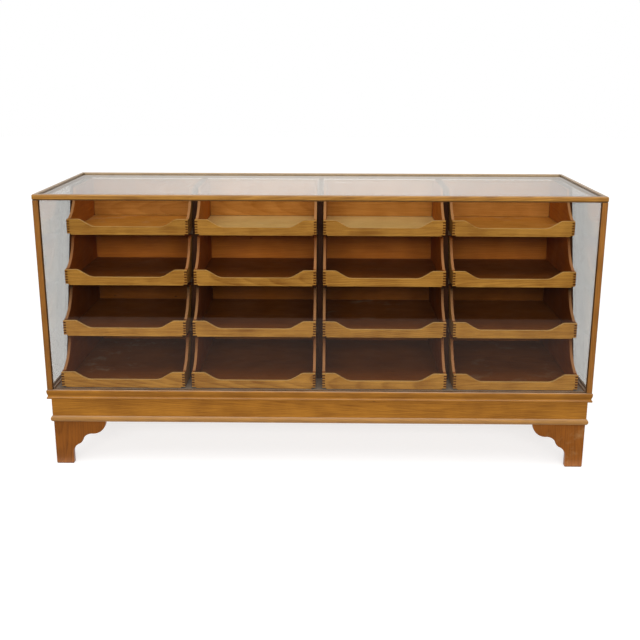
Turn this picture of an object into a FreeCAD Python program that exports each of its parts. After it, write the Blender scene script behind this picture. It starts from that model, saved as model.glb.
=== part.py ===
"""Haberdashery cabinet: a glazed oak shop counter with sixteen stepped, scoop-fronted drawers.

Millimetres. +Z is up, the customer's side faces -Y, and the origin is on the ground at the middle of the
footprint. The drawers run out towards +Y, the shopkeeper's side. Row 1 is the top row and column 1 is the
left one, seen from the customer's side.
"""
import FreeCAD, Part
import math
import os

# ---------------------------------------------------------------- overall sizes
CASE_WIDTH = 1830.0            # over the corner posts
CASE_DEPTH = 620.0             # over the corner posts
CASE_HEIGHT = 930.0            # ground to the top of the rails
COLUMNS = 4
ROWS = 4

# ---------------------------------------------------------------- bars and glass
BAR = 19.0                     # square section of the posts and top rails
BAR_ROUND = 5.0                # radius of a bar's outer corner
BAR_EASE = 1.2                 # radius of a bar's other long edges
GLASS = 6.0                    # thickness of every pane
GLASS_BITE = 5.0               # how far a pane enters a groove
TOP_PANE_REST = 7.0            # width of the rebate under the top pane
TOP_PANE_DROP = 5.5            # top pane's upper face below the rails' top
TENON = 9.0                    # square section of the posts' stub tenons
TENON_LENGTH = 8.0             # into the base moulding
TENON_COVER = 1.0              # wood left between a tenon and the top pane's rebate

# ---------------------------------------------------------------- plinth
PLINTH_INSET = 10.0            # plinth boards' faces behind the posts' faces
PLINTH_BOARD = 20.0            # thickness of the plinth boards and bearers
PLINTH_BOARD_HEIGHT = 85.0
BEAD_HEIGHT = 21.0
BEAD_PROUD = 6.0               # the bead's projection from the plinth boards
MOULDING_HEIGHT = 32.0
MOULDING_PROUD = 2.0           # the lips' projection from the posts' faces
MOULDING_TOP_ROUND = 5.0       # radius of the upper lip's top edge
MOULDING_LIP = 20.0            # height of the upper lip, down to the waist
MOULDING_LIP_BOW = 0.9         # how far the lip's face swells beyond its chord
MOULDING_WAIST = 3.0           # depth of the waist behind the lips' faces
MOULDING_COVE_BOW = 1.2        # how far the cove hollows behind its chord
MOULDING_FILLET = 4.5          # height of the flat lower lip
BASE_THICKNESS = 26.0          # base board, on top of the plinth boards
BASE_HOUSING = 6.0             # depth of the grooves that hold the upright panels

# ---------------------------------------------------------------- bracket feet
FOOT_INSET = 2.0               # feet behind the plinth boards' faces
LEG_WIDTH = 60.0
LEG_STRAIGHT = 41.0            # plain height of the leg below the lower cove
LOWER_COVE_RUN = 19.0
LOWER_COVE_RISE = 30.0
LOWER_COVE_BOW = 4.8           # how far the cove hollows behind its chord
CUSP_RUN = 14.0
CUSP_RISE = 11.0
CUSP_BOW = 1.6                 # how far the cusp swells beyond its chord
UPPER_COVE_RUN = 33.0
UPPER_COVE_RISE = 27.5
UPPER_COVE_BOW = 7.3
OVOLO_RUN = 51.0
OVOLO_RISE = 45.5
OVOLO_BOW = 15.2               # how far the rounded end swells beyond its chord
TOE_ROUND = 4.0                # radius of the leg's two lower corners
FOOT_BLOCK = 24.0              # square section of the corner block
FOOT_BLOCK_CLEAR = 6.0         # the block stays off the ground
FOOT_BLOCK_TOP_CLEAR = 6.0     # and off the base board

# ---------------------------------------------------------------- upright panels and runners
END_PANEL = 15.0               # thickness
END_PANEL_GAP = 4.5            # end panel to the posts' inner faces
PARTITION = 19.0               # thickness
PANEL_FOOT_SETBACK = 115.0     # panels' lower front corner behind the bottom drawers' fronts
PANEL_HEAD_SETBACK = 144.0     # panels' upper front corner behind the top drawers' fronts
RUNNER_THICKNESS = 17.0
RUNNER_WIDTH = 14.0
RUNNER_FRONT_CLEAR = 6.0       # runner's front end behind the panel's raked edge
SCREWS_PER_RUNNER = 2
SCREW_END_DISTANCE = 40.0      # from a runner's ends
SCREW_HEAD_RADIUS = 3.6
SCREW_HEAD_DEPTH = 2.4
SCREW_SHANK_RADIUS = 2.0
SCREW_BITE = 9.0               # depth in the panel behind the runner
SCREW_POINT = 3.0              # height of the pointed tip
SCREW_SLOT_WIDTH = 1.0
SCREW_SLOT_DEPTH = 1.0

# ---------------------------------------------------------------- drawers
FRONT_SETBACK = 40.0           # bottom row's fronts behind the posts' front faces
ROW_SETBACK = 62.0             # each row's fronts behind the fronts of the row below
SIDE_CLEARANCE = 2.0           # drawer to panel, each side
SLIDE_CLEARANCE = 0.5          # drawer to runner
RUNNER_OVERHEAD = 1.5          # a drawer's sides to the runner above
FLOOR_CLEARANCE = 1.5          # bottom row's front boards to the base board
HEAD_CLEARANCE = 2.5           # top row's sides to the back rail
BACK_GAP = 2.0                 # between the back boards of two rows
FRONT_HEIGHT = 54.0            # front board at its ends
FRONT_THICKNESS = 12.0
SCOOP_DROP = 26.0              # the scoop's depth below the shoulders
SCOOP_SHOULDER = 44.0          # level shoulder at each end
SCOOP_RUN = 44.0               # length of each slope
SCOOP_SHOULDER_ROUND = 14.0
SCOOP_FLOOR_ROUND = 45.0
SIDE_THICKNESS = 9.5
SIDE_LIFT = 4.0                # sides' lower edges above the front board's
SIDE_LEVEL = 26.0              # level run of a side's edge before its curve
SIDE_CURVE_RUN = 89.0
SIDE_CURVE_BOW = 16.0          # how far the curve hollows behind its chord
SIDE_HEAD_ROUND = 8.0
COMB_FINGERS = 11              # fingers and gaps of a front corner
BACK_FINGERS = 16              # fingers and gaps of a back corner
BACK_THICKNESS = 16.0
BOTTOM_THICKNESS = 5.0
BOTTOM_LIFT = 4.0              # bottom board above the sides' lower edges
BOTTOM_BITE = 4.0              # depth of the bottom board's grooves
KNOB_RADIUS = 15.0
KNOB_PROJECTION = 24.0
KNOB_FOOT_RADIUS = 10.0
KNOB_FOOT = 2.5                # thickness of the knob's foot disc
KNOB_NECK = 7.0                # length of the hollow neck
KNOB_NECK_HOLLOW = 3.4         # depth of the neck behind the foot disc's edge
KNOB_SWELL = 1.2               # how far the head swells behind its widest ring
KNOB_SPIGOT_RADIUS = 5.0
KNOB_SPIGOT = 11.0             # length, less than the back board's thickness
KNOB_CLEAR = 2.0               # knob inside the posts' back faces

# ---------------------------------------------------------------- levels and planes worked out from those
FOOT_HEIGHT = LEG_STRAIGHT + LOWER_COVE_RISE + CUSP_RISE + UPPER_COVE_RISE + OVOLO_RISE
PLINTH_TOP = FOOT_HEIGHT + PLINTH_BOARD_HEIGHT          # where the base board lies
CASE_FOOT = PLINTH_TOP + MOULDING_HEIGHT                # where the posts stand
BASE_TOP = PLINTH_TOP + BASE_THICKNESS
RAIL_BOTTOM = CASE_HEIGHT - BAR
TOP_PANE_FLOOR = CASE_HEIGHT - TOP_PANE_DROP - GLASS    # where the top pane lies in its rebate
HALF_WIDTH = CASE_WIDTH / 2
BOX_DEPTH = CASE_DEPTH + MOULDING_PROUD                 # the moulding stands proud at the front only
FACE_FRONT = -BOX_DEPTH / 2 + MOULDING_PROUD            # plane of the posts' front faces
FACE_BACK = BOX_DEPTH / 2                               # plane of the posts' back faces
POST_INNER = HALF_WIDTH - BAR
PANE_MID = HALF_WIDTH - BAR / 2                         # middle of a side pane
PANEL_OUTER = POST_INNER - END_PANEL_GAP
PANEL_INNER = PANEL_OUTER - END_PANEL
CLEAR_WIDTH = 2 * PANEL_INNER - (COLUMNS - 1) * PARTITION
DRAWER_WIDTH = CLEAR_WIDTH / COLUMNS - 2 * SIDE_CLEARANCE
COLUMN_PITCH = DRAWER_WIDTH + 2 * SIDE_CLEARANCE + PARTITION
FIRST_DRAWER = -PANEL_INNER + SIDE_CLEARANCE            # left face of column 1's drawers
ROW_GAP = RUNNER_THICKNESS + SLIDE_CLEARANCE + RUNNER_OVERHEAD
BOTTOM_ROW = BASE_TOP + FLOOR_CLEARANCE                 # underside of the bottom row's front boards
SIDE_CEILING = RAIL_BOTTOM - HEAD_CLEARANCE             # top of the top row's sides
ROW_PITCH = (SIDE_CEILING - BOTTOM_ROW - SIDE_LIFT + ROW_GAP) / ROWS
SIDE_HEIGHT = ROW_PITCH - ROW_GAP
DRAWER_BACK = FACE_BACK - KNOB_PROJECTION - KNOB_CLEAR
RUNNER_BACK = DRAWER_BACK - BACK_THICKNESS - SLIDE_CLEARANCE
UP = FreeCAD.Vector(0, 0, 1)


# ---------------------------------------------------------------- small helpers
def box(x0, x1, y0, y1, z0, z1):
    return Part.makeBox(x1 - x0, y1 - y0, z1 - z0, FreeCAD.Vector(x0, y0, z0))


def in_xz(y):
    """Puts an outline's (across, up) points on the plane at that y."""
    return lambda a, b: FreeCAD.Vector(a, y, b)


def in_yz(x):
    return lambda a, b: FreeCAD.Vector(x, a, b)


def in_xy(z):
    return lambda a, b: FreeCAD.Vector(a, b, z)


def line(a, b):
    return Part.LineSegment(a, b).toShape()


def bow(a, b, rise, place):
    """Arc from a to b that swells by rise to the left of the way from a to b, or to the right if negative."""
    (ax, ay), (bx, by) = a, b
    length = math.hypot(bx - ax, by - ay)
    middle_x = (ax + bx) / 2 - (by - ay) / length * rise
    middle_y = (ay + by) / 2 + (bx - ax) / length * rise
    return Part.Arc(place(ax, ay), place(middle_x, middle_y), place(bx, by)).toShape()


def quarter(a, b, centre, radius, place):
    """Quarter circle from a to b about centre."""
    middle_x = (a[0] + b[0]) / 2 - centre[0]
    middle_y = (a[1] + b[1]) / 2 - centre[1]
    reach = radius / math.hypot(middle_x, middle_y)
    middle = place(centre[0] + middle_x * reach, centre[1] + middle_y * reach)
    return Part.Arc(place(*a), middle, place(*b)).toShape()


def rounded_outline(corners, place):
    """Closed wire through (across, up, radius) corners, with a tangent arc at each corner that has a radius."""
    count = len(corners)
    edges = []
    leaves = []
    arrives = []
    for index in range(count):
        x, y, radius = corners[index]
        before = corners[index - 1]
        after = corners[(index + 1) % count]
        back = FreeCAD.Vector(before[0] - x, before[1] - y, 0).normalize()
        ahead = FreeCAD.Vector(after[0] - x, after[1] - y, 0).normalize()
        turn = math.pi - back.getAngle(ahead)
        cut = radius * math.tan(turn / 2)
        start = (x + back.x * cut, y + back.y * cut)
        end = (x + ahead.x * cut, y + ahead.y * cut)
        arrives.append(start)
        leaves.append(end)
        if radius:
            inward = (back + ahead).normalize()
            to_arc = radius / math.cos(turn / 2) - radius
            middle = (x + inward.x * to_arc, y + inward.y * to_arc)
            edges.append(Part.Arc(place(*start), place(*middle), place(*end)).toShape())
    for index in range(count):
        edges.append(line(place(*leaves[index - 1]), place(*arrives[index])))
    return Part.Wire(Part.__sortEdges__(edges))


def prism(wire, direction):
    return Part.Face(wire).extrude(direction)


def polygon_prism(points, low, high):
    """Upright prism over a plan outline."""
    place = in_xy(low)
    corners = [place(x, y) for x, y in points]
    return prism(Part.makePolygon(corners + corners[:1]), UP * (high - low))


def flipped(shape, flip_x, flip_y=False):
    """Mirror image across the planes x = 0 and y = 0."""
    origin = FreeCAD.Vector(0, 0, 0)
    if flip_x:
        shape = shape.mirror(origin, FreeCAD.Vector(1, 0, 0))
    if flip_y:
        shape = shape.mirror(origin, FreeCAD.Vector(0, 1, 0))
    return shape


def moved(shape, x=0.0, y=0.0, z=0.0):
    return shape.translated(FreeCAD.Vector(x, y, z))


def export(node, solids):
    """Writes one node: a single solid, or a group of separate ones."""
    shape = solids[0] if len(solids) == 1 else Part.makeCompound(solids)
    shape.exportStep("parts/" + node + ".step")
    print(node, len(shape.Solids), "solids", round(shape.Volume / 1000.0, 1), "cm3")


# ---------------------------------------------------------------- mitres, seen in plan
MITRE_REACH = 60.0             # how far the mitre's plan runs in and out from the corner


def front_sector(low, high):
    """Everything in front of the mitre lines through the posts' front corners."""
    out, deep = MITRE_REACH, MITRE_REACH
    return polygon_prism([(-HALF_WIDTH - out, FACE_FRONT - out), (HALF_WIDTH + out, FACE_FRONT - out),
                          (HALF_WIDTH - deep, FACE_FRONT + deep), (-HALF_WIDTH + deep, FACE_FRONT + deep)],
                         low, high)


def left_sector(low, high, mitred_back):
    """Everything left of the mitre lines, cut square or mitred at the back."""
    out, deep = MITRE_REACH, MITRE_REACH
    back_out = FACE_BACK + out if mitred_back else FACE_BACK
    back_in = FACE_BACK - deep if mitred_back else FACE_BACK
    return polygon_prism([(-HALF_WIDTH - out, FACE_FRONT - out), (-HALF_WIDTH + deep, FACE_FRONT + deep),
                          (-HALF_WIDTH + deep, back_in), (-HALF_WIDTH - out, back_out)], low, high)


def around_three_sides(section, low, high):
    """Front, left and right runs of one section, mitred at the front and square at the back.

    section(place, outward) gives the section's wire: place puts (distance, height) in space, where distance is
    measured along outward from the posts' faces.
    """
    long_way = CASE_WIDTH + 2 * MITRE_REACH
    deep_way = BOX_DEPTH + 2 * MITRE_REACH
    front_place = lambda a, b: FreeCAD.Vector(-long_way / 2, FACE_FRONT - a, b)
    left_place = lambda a, b: FreeCAD.Vector(-HALF_WIDTH - a, -deep_way / 2, b)
    front = prism(section(front_place), FreeCAD.Vector(long_way, 0, 0)).common(front_sector(low, high))
    left = prism(section(left_place), FreeCAD.Vector(0, deep_way, 0)).common(left_sector(low, high, False))
    return [front, left, flipped(left, True)]


# ---------------------------------------------------------------- panes, which cut the grooves that hold them
def make_panes():
    low = CASE_FOOT - GLASS_BITE
    high = RAIL_BOTTOM + GLASS_BITE
    reach_x = POST_INNER + GLASS_BITE
    front_mid = FACE_FRONT + BAR / 2
    reach_front = FACE_FRONT + BAR - GLASS_BITE
    reach_back = FACE_BACK - BAR + GLASS_BITE
    front = box(-reach_x, reach_x, front_mid - GLASS / 2, front_mid + GLASS / 2, low, high)
    left = box(-PANE_MID - GLASS / 2, -PANE_MID + GLASS / 2, reach_front, reach_back, low, high)
    top = box(-POST_INNER - TOP_PANE_REST, POST_INNER + TOP_PANE_REST,
              FACE_FRONT + BAR - TOP_PANE_REST, FACE_BACK - BAR + TOP_PANE_REST,
              TOP_PANE_FLOOR, TOP_PANE_FLOOR + GLASS)
    return {"glass_front": front, "glass_left": left, "glass_right": flipped(left, True), "glass_top": top}


# ---------------------------------------------------------------- posts and rails
def bar_section(place, outer_x, outer_y, step_x, step_y):
    """Square bar section in plan or elevation, with its outer corner rounded."""
    return rounded_outline([(outer_x, outer_y, BAR_ROUND),
                            (outer_x + step_x * BAR, outer_y, BAR_EASE),
                            (outer_x + step_x * BAR, outer_y + step_y * BAR, BAR_EASE),
                            (outer_x, outer_y + step_y * BAR, BAR_EASE)], place)


def tenon_plan(left, front):
    x = -PANE_MID if left else PANE_MID
    y = FACE_FRONT + BAR / 2 if front else FACE_BACK - BAR / 2
    return x, y


def tenons(left, front):
    x, y = tenon_plan(left, front)
    half = TENON / 2
    return box(x - half, x + half, y - half, y + half, CASE_FOOT - TENON_LENGTH, TOP_PANE_FLOOR - TENON_COVER)


def make_posts(panes):
    posts = {}
    for front in (True, False):
        for left in (True, False):
            outer_x = -HALF_WIDTH if left else HALF_WIDTH
            outer_y = FACE_FRONT if front else FACE_BACK
            section = bar_section(in_xy(CASE_FOOT), outer_x, outer_y, 1 if left else -1, 1 if front else -1)
            post = prism(section, UP * (RAIL_BOTTOM - CASE_FOOT))
            post = post.fuse(tenons(left, front)).removeSplitter()
            post = post.cut([panes["glass_front"], panes["glass_left"], panes["glass_right"]])
            name = "post_" + ("front" if front else "rear") + ("_left" if left else "_right")
            posts[name] = post
    return posts


def rail_runs():
    """The four rails before they are cut for panes and tenons: sections along X or Y, mitred at the corners."""
    low, high = RAIL_BOTTOM - BAR, CASE_HEIGHT + BAR
    long_way = CASE_WIDTH + 2 * MITRE_REACH
    deep_way = BOX_DEPTH + 2 * MITRE_REACH
    front_section = bar_section(in_yz(-long_way / 2), FACE_FRONT, CASE_HEIGHT, 1, -1)
    back_section = bar_section(in_yz(-long_way / 2), FACE_BACK, CASE_HEIGHT, -1, -1)
    left_section = bar_section(in_xz(-deep_way / 2), -HALF_WIDTH, CASE_HEIGHT, 1, -1)
    left = prism(left_section, FreeCAD.Vector(0, deep_way, 0)).common(left_sector(low, high, True))
    right = flipped(left, True)
    front = prism(front_section, FreeCAD.Vector(long_way, 0, 0)).common(front_sector(low, high))
    back_sector = moved(flipped(front_sector(low, high), False, True), 0, FACE_FRONT + FACE_BACK)
    back = prism(back_section, FreeCAD.Vector(long_way, 0, 0)).common(back_sector)
    return {"rail_front": front, "rail_back": back, "rail_left": left, "rail_right": right}


def make_rails(panes):
    corners = [tenons(left, front) for left in (True, False) for front in (True, False)]
    rest = panes["glass_top"].BoundBox
    rebate = box(rest.XMin, rest.XMax, rest.YMin, rest.YMax, rest.ZMin, CASE_HEIGHT + BAR)
    cutters = [rebate, panes["glass_front"], panes["glass_left"], panes["glass_right"]] + corners
    rails = rail_runs()
    return {name: rail.cut(cutters) for name, rail in rails.items()}


# ---------------------------------------------------------------- plinth
def moulding_section(place):
    """Base moulding: a rounded upper lip, a cove and a flat lower lip. It reaches in to the posts' inner faces."""
    top, bottom = CASE_FOOT, PLINTH_TOP
    face = MOULDING_PROUD
    round_start = (face - MOULDING_TOP_ROUND, top)
    round_end = (face, top - MOULDING_TOP_ROUND)
    waist = (face - MOULDING_WAIST, top - MOULDING_LIP)
    lip_top = (face, bottom + MOULDING_FILLET)
    lip_bottom = (face, bottom)
    edges = [line(place(-BAR, bottom), place(-BAR, top)),
             line(place(-BAR, top), place(*round_start)),
             quarter(round_start, round_end, (round_start[0], round_end[1]), MOULDING_TOP_ROUND, place),
             bow(round_end, waist, MOULDING_LIP_BOW, place),
             bow(waist, lip_top, -MOULDING_COVE_BOW, place),
             line(place(*lip_top), place(*lip_bottom)),
             line(place(*lip_bottom), place(-BAR, bottom))]
    return Part.Wire(edges)


def bead_section(place):
    """Half-round bead against the plinth boards' faces."""
    low = (-PLINTH_INSET, FOOT_HEIGHT)
    high = (-PLINTH_INSET, FOOT_HEIGHT + BEAD_HEIGHT)
    return Part.Wire([bow(high, low, BEAD_PROUD, place), line(place(*low), place(*high))])


def make_moulding(panes):
    corners = [tenons(left, front) for left in (True, False) for front in (True, False)]
    cutters = [panes["glass_front"], panes["glass_left"], panes["glass_right"]] + corners
    runs = around_three_sides(moulding_section, PLINTH_TOP - 1, CASE_FOOT + 1)
    return [run.cut(cutters) for run in runs]


def plinth_board_section(place):
    outer, inner = -PLINTH_INSET, -PLINTH_INSET - PLINTH_BOARD
    return Part.makePolygon([place(outer, FOOT_HEIGHT), place(inner, FOOT_HEIGHT), place(inner, PLINTH_TOP),
                             place(outer, PLINTH_TOP), place(outer, FOOT_HEIGHT)])


def make_plinth():
    front, left, right = around_three_sides(plinth_board_section, FOOT_HEIGHT - 1, PLINTH_TOP + 1)
    inner_x = HALF_WIDTH - PLINTH_INSET - PLINTH_BOARD
    inner_front = FACE_FRONT + PLINTH_INSET + PLINTH_BOARD
    inner_back = FACE_BACK - PLINTH_BOARD
    back = box(-inner_x, inner_x, inner_back, FACE_BACK, FOOT_HEIGHT, PLINTH_TOP)
    bearers = []
    for column in range(1, COLUMNS):
        x = partition_middle(column)
        bearers.append(box(x - PLINTH_BOARD / 2, x + PLINTH_BOARD / 2, inner_front, inner_back,
                           FOOT_HEIGHT, PLINTH_TOP))
    return front, back, [left, right] + bearers


def bracket_outline(place):
    """Bracket foot's face: a straight leg, two coves with a soft cusp between them, and a rounded end."""
    leg_top = (LEG_WIDTH, LEG_STRAIGHT)
    cusp_low = (leg_top[0] + LOWER_COVE_RUN, leg_top[1] + LOWER_COVE_RISE)
    cusp_high = (cusp_low[0] + CUSP_RUN, cusp_low[1] + CUSP_RISE)
    ovolo_low = (cusp_high[0] + UPPER_COVE_RUN, cusp_high[1] + UPPER_COVE_RISE)
    ovolo_high = (ovolo_low[0] + OVOLO_RUN, FOOT_HEIGHT)
    toe = TOE_ROUND
    edges = [line(place(toe, 0), place(LEG_WIDTH - toe, 0)),
             quarter((LEG_WIDTH - toe, 0), (LEG_WIDTH, toe), (LEG_WIDTH - toe, toe), toe, place),
             line(place(LEG_WIDTH, toe), place(*leg_top)),
             bow(leg_top, cusp_low, LOWER_COVE_BOW, place),
             bow(cusp_low, cusp_high, -CUSP_BOW, place),
             bow(cusp_high, ovolo_low, UPPER_COVE_BOW, place),
             bow(ovolo_low, ovolo_high, -OVOLO_BOW, place),
             line(place(*ovolo_high), place(0, FOOT_HEIGHT)),
             line(place(0, FOOT_HEIGHT), place(0, toe)),
             quarter((0, toe), (toe, 0), (toe, toe), toe, place)]
    return Part.Wire(edges)


def make_foot():
    """One foot with its outer corner on the z axis, running towards +x and +y: two brackets and a corner block."""
    thickness = PLINTH_BOARD - FOOT_INSET
    reach = LEG_WIDTH + LOWER_COVE_RUN + CUSP_RUN + UPPER_COVE_RUN + OVOLO_RUN + MITRE_REACH
    below_mitre = polygon_prism([(0, 0), (reach, 0), (reach, reach)], -1, FOOT_HEIGHT + 1)
    along_x = prism(bracket_outline(in_xz(0)), FreeCAD.Vector(0, thickness, 0)).common(below_mitre)
    across_mitre = FreeCAD.Vector(1, -1, 0).normalize()
    along_y = along_x.mirror(FreeCAD.Vector(0, 0, 0), across_mitre)
    block = box(thickness, thickness + FOOT_BLOCK, thickness, thickness + FOOT_BLOCK,
                FOOT_BLOCK_CLEAR, PLINTH_TOP - FOOT_BLOCK_TOP_CLEAR)
    return [along_x, along_y, block]


def make_feet():
    feet = {}
    corner_x = HALF_WIDTH - PLINTH_INSET - FOOT_INSET
    corner_front = FACE_FRONT + PLINTH_INSET + FOOT_INSET
    corner_back = FACE_BACK - FOOT_INSET
    for front in (True, False):
        for left in (True, False):
            x = -corner_x if left else corner_x
            y = corner_front if front else corner_back
            pieces = [moved(flipped(piece, not left, not front), x, y) for piece in make_foot()]
            feet["foot_" + ("front" if front else "rear") + ("_left" if left else "_right")] = pieces
    return feet


# ---------------------------------------------------------------- upright panels, runners and screws
def partition_middle(column):
    """Middle of the partition to the right of that column."""
    return FIRST_DRAWER + column * COLUMN_PITCH - SIDE_CLEARANCE - PARTITION / 2


def row_level(row):
    """Underside of the front boards of a row."""
    return BOTTOM_ROW + (ROWS - row) * ROW_PITCH


def row_front(row):
    """Front face of the drawers of a row."""
    return FACE_FRONT + FRONT_SETBACK + (ROWS - row) * ROW_SETBACK


def panel_edge(level):
    """How far back the panels' raked front edge is at a level."""
    foot = row_front(ROWS) + PANEL_FOOT_SETBACK
    head = row_front(1) + PANEL_HEAD_SETBACK
    return foot + (head - foot) * (level - BASE_TOP) / (RAIL_BOTTOM - BASE_TOP)


def panel(x0, x1):
    low = BASE_TOP - BASE_HOUSING
    place = in_yz(x0)
    corners = [place(panel_edge(BASE_TOP), low), place(FACE_BACK, low), place(FACE_BACK, RAIL_BOTTOM),
               place(panel_edge(RAIL_BOTTOM), RAIL_BOTTOM), place(panel_edge(BASE_TOP), BASE_TOP)]
    return prism(Part.makePolygon(corners + corners[:1]), FreeCAD.Vector(x1 - x0, 0, 0))


def panel_faces():
    """Every panel face that carries runners: its x, and +1 where the drawers are to its right, else -1."""
    faces = []
    for column in range(COLUMNS):
        left = FIRST_DRAWER + column * COLUMN_PITCH - SIDE_CLEARANCE
        faces.append((left, 1))
        faces.append((left + DRAWER_WIDTH + 2 * SIDE_CLEARANCE, -1))
    return faces


def screw_blank():
    """Countersunk screw without its slot, pointing down from the origin."""
    length = RUNNER_WIDTH + SCREW_BITE
    edges = [line(in_xz(0)(0, 0), in_xz(0)(SCREW_HEAD_RADIUS, 0)),
             line(in_xz(0)(SCREW_HEAD_RADIUS, 0), in_xz(0)(SCREW_SHANK_RADIUS, -SCREW_HEAD_DEPTH)),
             line(in_xz(0)(SCREW_SHANK_RADIUS, -SCREW_HEAD_DEPTH),
                  in_xz(0)(SCREW_SHANK_RADIUS, -length + SCREW_POINT)),
             line(in_xz(0)(SCREW_SHANK_RADIUS, -length + SCREW_POINT), in_xz(0)(0, -length)),
             line(in_xz(0)(0, -length), in_xz(0)(0, 0))]
    return Part.Face(Part.Wire(edges)).revolve(FreeCAD.Vector(0, 0, 0), UP, 360)


def slotted(blank):
    half = SCREW_SLOT_WIDTH / 2
    slot = box(-2 * SCREW_HEAD_RADIUS, 2 * SCREW_HEAD_RADIUS, -half, half, -SCREW_SLOT_DEPTH, 1)
    return blank.cut(slot)


def aimed(screw, x, y, z, side):
    """Screw turned to point at a panel on its left (side 1) or right (side -1), or down (side 0)."""
    screw = screw.copy()
    screw.rotate(FreeCAD.Vector(0, 0, 0), FreeCAD.Vector(0, 1, 0), 90 * side)
    return moved(screw, x, y, z)


def screw_stations(front, back):
    first, last = front + SCREW_END_DISTANCE, back - SCREW_END_DISTANCE
    step = (last - first) / (SCREWS_PER_RUNNER - 1)
    return [first + index * step for index in range(SCREWS_PER_RUNNER)]


def make_runners():
    """Runners on both sides of every drawer, with the holes and screws that fix them."""
    blank = screw_blank()
    screw = slotted(blank)
    runners, holes, screws = [], [], []
    for x, side in panel_faces():
        inner = x + side * RUNNER_WIDTH
        for row in range(1, ROWS + 1):
            top = row_level(row) + SIDE_LIFT - SLIDE_CLEARANCE
            on_base = row == ROWS
            bottom = BASE_TOP if on_base else top - RUNNER_THICKNESS
            front = panel_edge(top) + RUNNER_FRONT_CLEAR
            runner = box(min(x, inner), max(x, inner), front, RUNNER_BACK, bottom, top)
            for y in screw_stations(front, RUNNER_BACK):
                spot = ((x + inner) / 2, y, top, 0) if on_base else (inner, y, (top + bottom) / 2, side)
                holes.append(aimed(blank, *spot))
                screws.append(aimed(screw, *spot))
            runners.append(runner)
    cut_runners = []
    for index, runner in enumerate(runners):
        start = index * SCREWS_PER_RUNNER
        cut_runners.append(runner.cut(holes[start:start + SCREWS_PER_RUNNER]))
    return cut_runners, holes, screws


def holes_near(shape, holes):
    """The holes whose boxes meet the shape's box."""
    return [hole for hole in holes if hole.BoundBox.intersect(shape.BoundBox)]


def make_panels(holes):
    left = panel(-PANEL_OUTER, -PANEL_INNER)
    right = panel(PANEL_INNER, PANEL_OUTER)
    partitions = []
    for column in range(1, COLUMNS):
        middle = partition_middle(column)
        partitions.append(panel(middle - PARTITION / 2, middle + PARTITION / 2))
    ends = [shape.cut(holes_near(shape, holes)) for shape in (left, right)]
    housings = [left, right] + partitions
    return ends, [shape.cut(holes_near(shape, holes)) for shape in partitions], housings


def make_base_board(housings, holes):
    board = box(-POST_INNER, POST_INNER, FACE_FRONT + BAR, FACE_BACK, PLINTH_TOP, BASE_TOP)
    return board.cut(housings + holes_near(board, holes))


# ---------------------------------------------------------------- drawers
def comb(x0, x1, y0, y1, low, high, count, first):
    """Every second finger of a comb joint's corner block, from finger number first."""
    step = (high - low) / count
    return [box(x0, x1, y0, y1, low + index * step, low + (index + 1) * step)
            for index in range(first, count, 2)]


def front_board(x0, y0, low):
    """Front board: scooped upper edge, and lower ends cut up to clear the runners."""
    x1 = x0 + DRAWER_WIDTH
    foot, top = low + SIDE_LIFT, low + FRONT_HEIGHT
    notch = RUNNER_WIDTH - SIDE_CLEARANCE + RUNNER_OVERHEAD
    near, far = SCOOP_SHOULDER, SCOOP_SHOULDER + SCOOP_RUN
    dip = top - SCOOP_DROP
    outline = rounded_outline([(x0, foot, 0), (x0, top, 0),
                               (x0 + near, top, SCOOP_SHOULDER_ROUND), (x0 + far, dip, SCOOP_FLOOR_ROUND),
                               (x1 - far, dip, SCOOP_FLOOR_ROUND), (x1 - near, top, SCOOP_SHOULDER_ROUND),
                               (x1, top, 0), (x1, foot, 0), (x1 - notch, foot, 0), (x1 - notch, low, 0),
                               (x0 + notch, low, 0), (x0 + notch, foot, 0)], in_xz(y0))
    return prism(outline, FreeCAD.Vector(0, FRONT_THICKNESS, 0))


def side_board(x0, y0, low):
    """Side board: level beside the front board, then a hollow curve up to its full height."""
    foot = low + SIDE_LIFT
    top = foot + SIDE_HEIGHT
    place = in_yz(x0)
    curve_start = (y0 + SIDE_LEVEL, low + FRONT_HEIGHT)
    curve_end = (y0 + SIDE_LEVEL + SIDE_CURVE_RUN, top)
    edges = [line(place(DRAWER_BACK, foot), place(y0, foot)),
             line(place(y0, foot), place(y0, low + FRONT_HEIGHT)),
             line(place(y0, low + FRONT_HEIGHT), place(*curve_start)),
             bow(curve_start, curve_end, -SIDE_CURVE_BOW, place),
             line(place(*curve_end), place(DRAWER_BACK, top)),
             line(place(DRAWER_BACK, top), place(DRAWER_BACK, foot))]
    board = prism(Part.Wire(edges), FreeCAD.Vector(SIDE_THICKNESS, 0, 0))
    head = place(*curve_end)
    corner = [edge for edge in board.Edges
              if all(math.hypot(v.Y - head.y, v.Z - head.z) < 0.01 for v in edge.Vertexes)]
    return board.makeFillet(SIDE_HEAD_ROUND, corner)


def back_top(row):
    """Top of a row's back boards: just under the boards of the row above, or under the back rail."""
    if row == 1:
        return RAIL_BOTTOM - BACK_GAP
    return row_level(row - 1) - BACK_GAP


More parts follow.
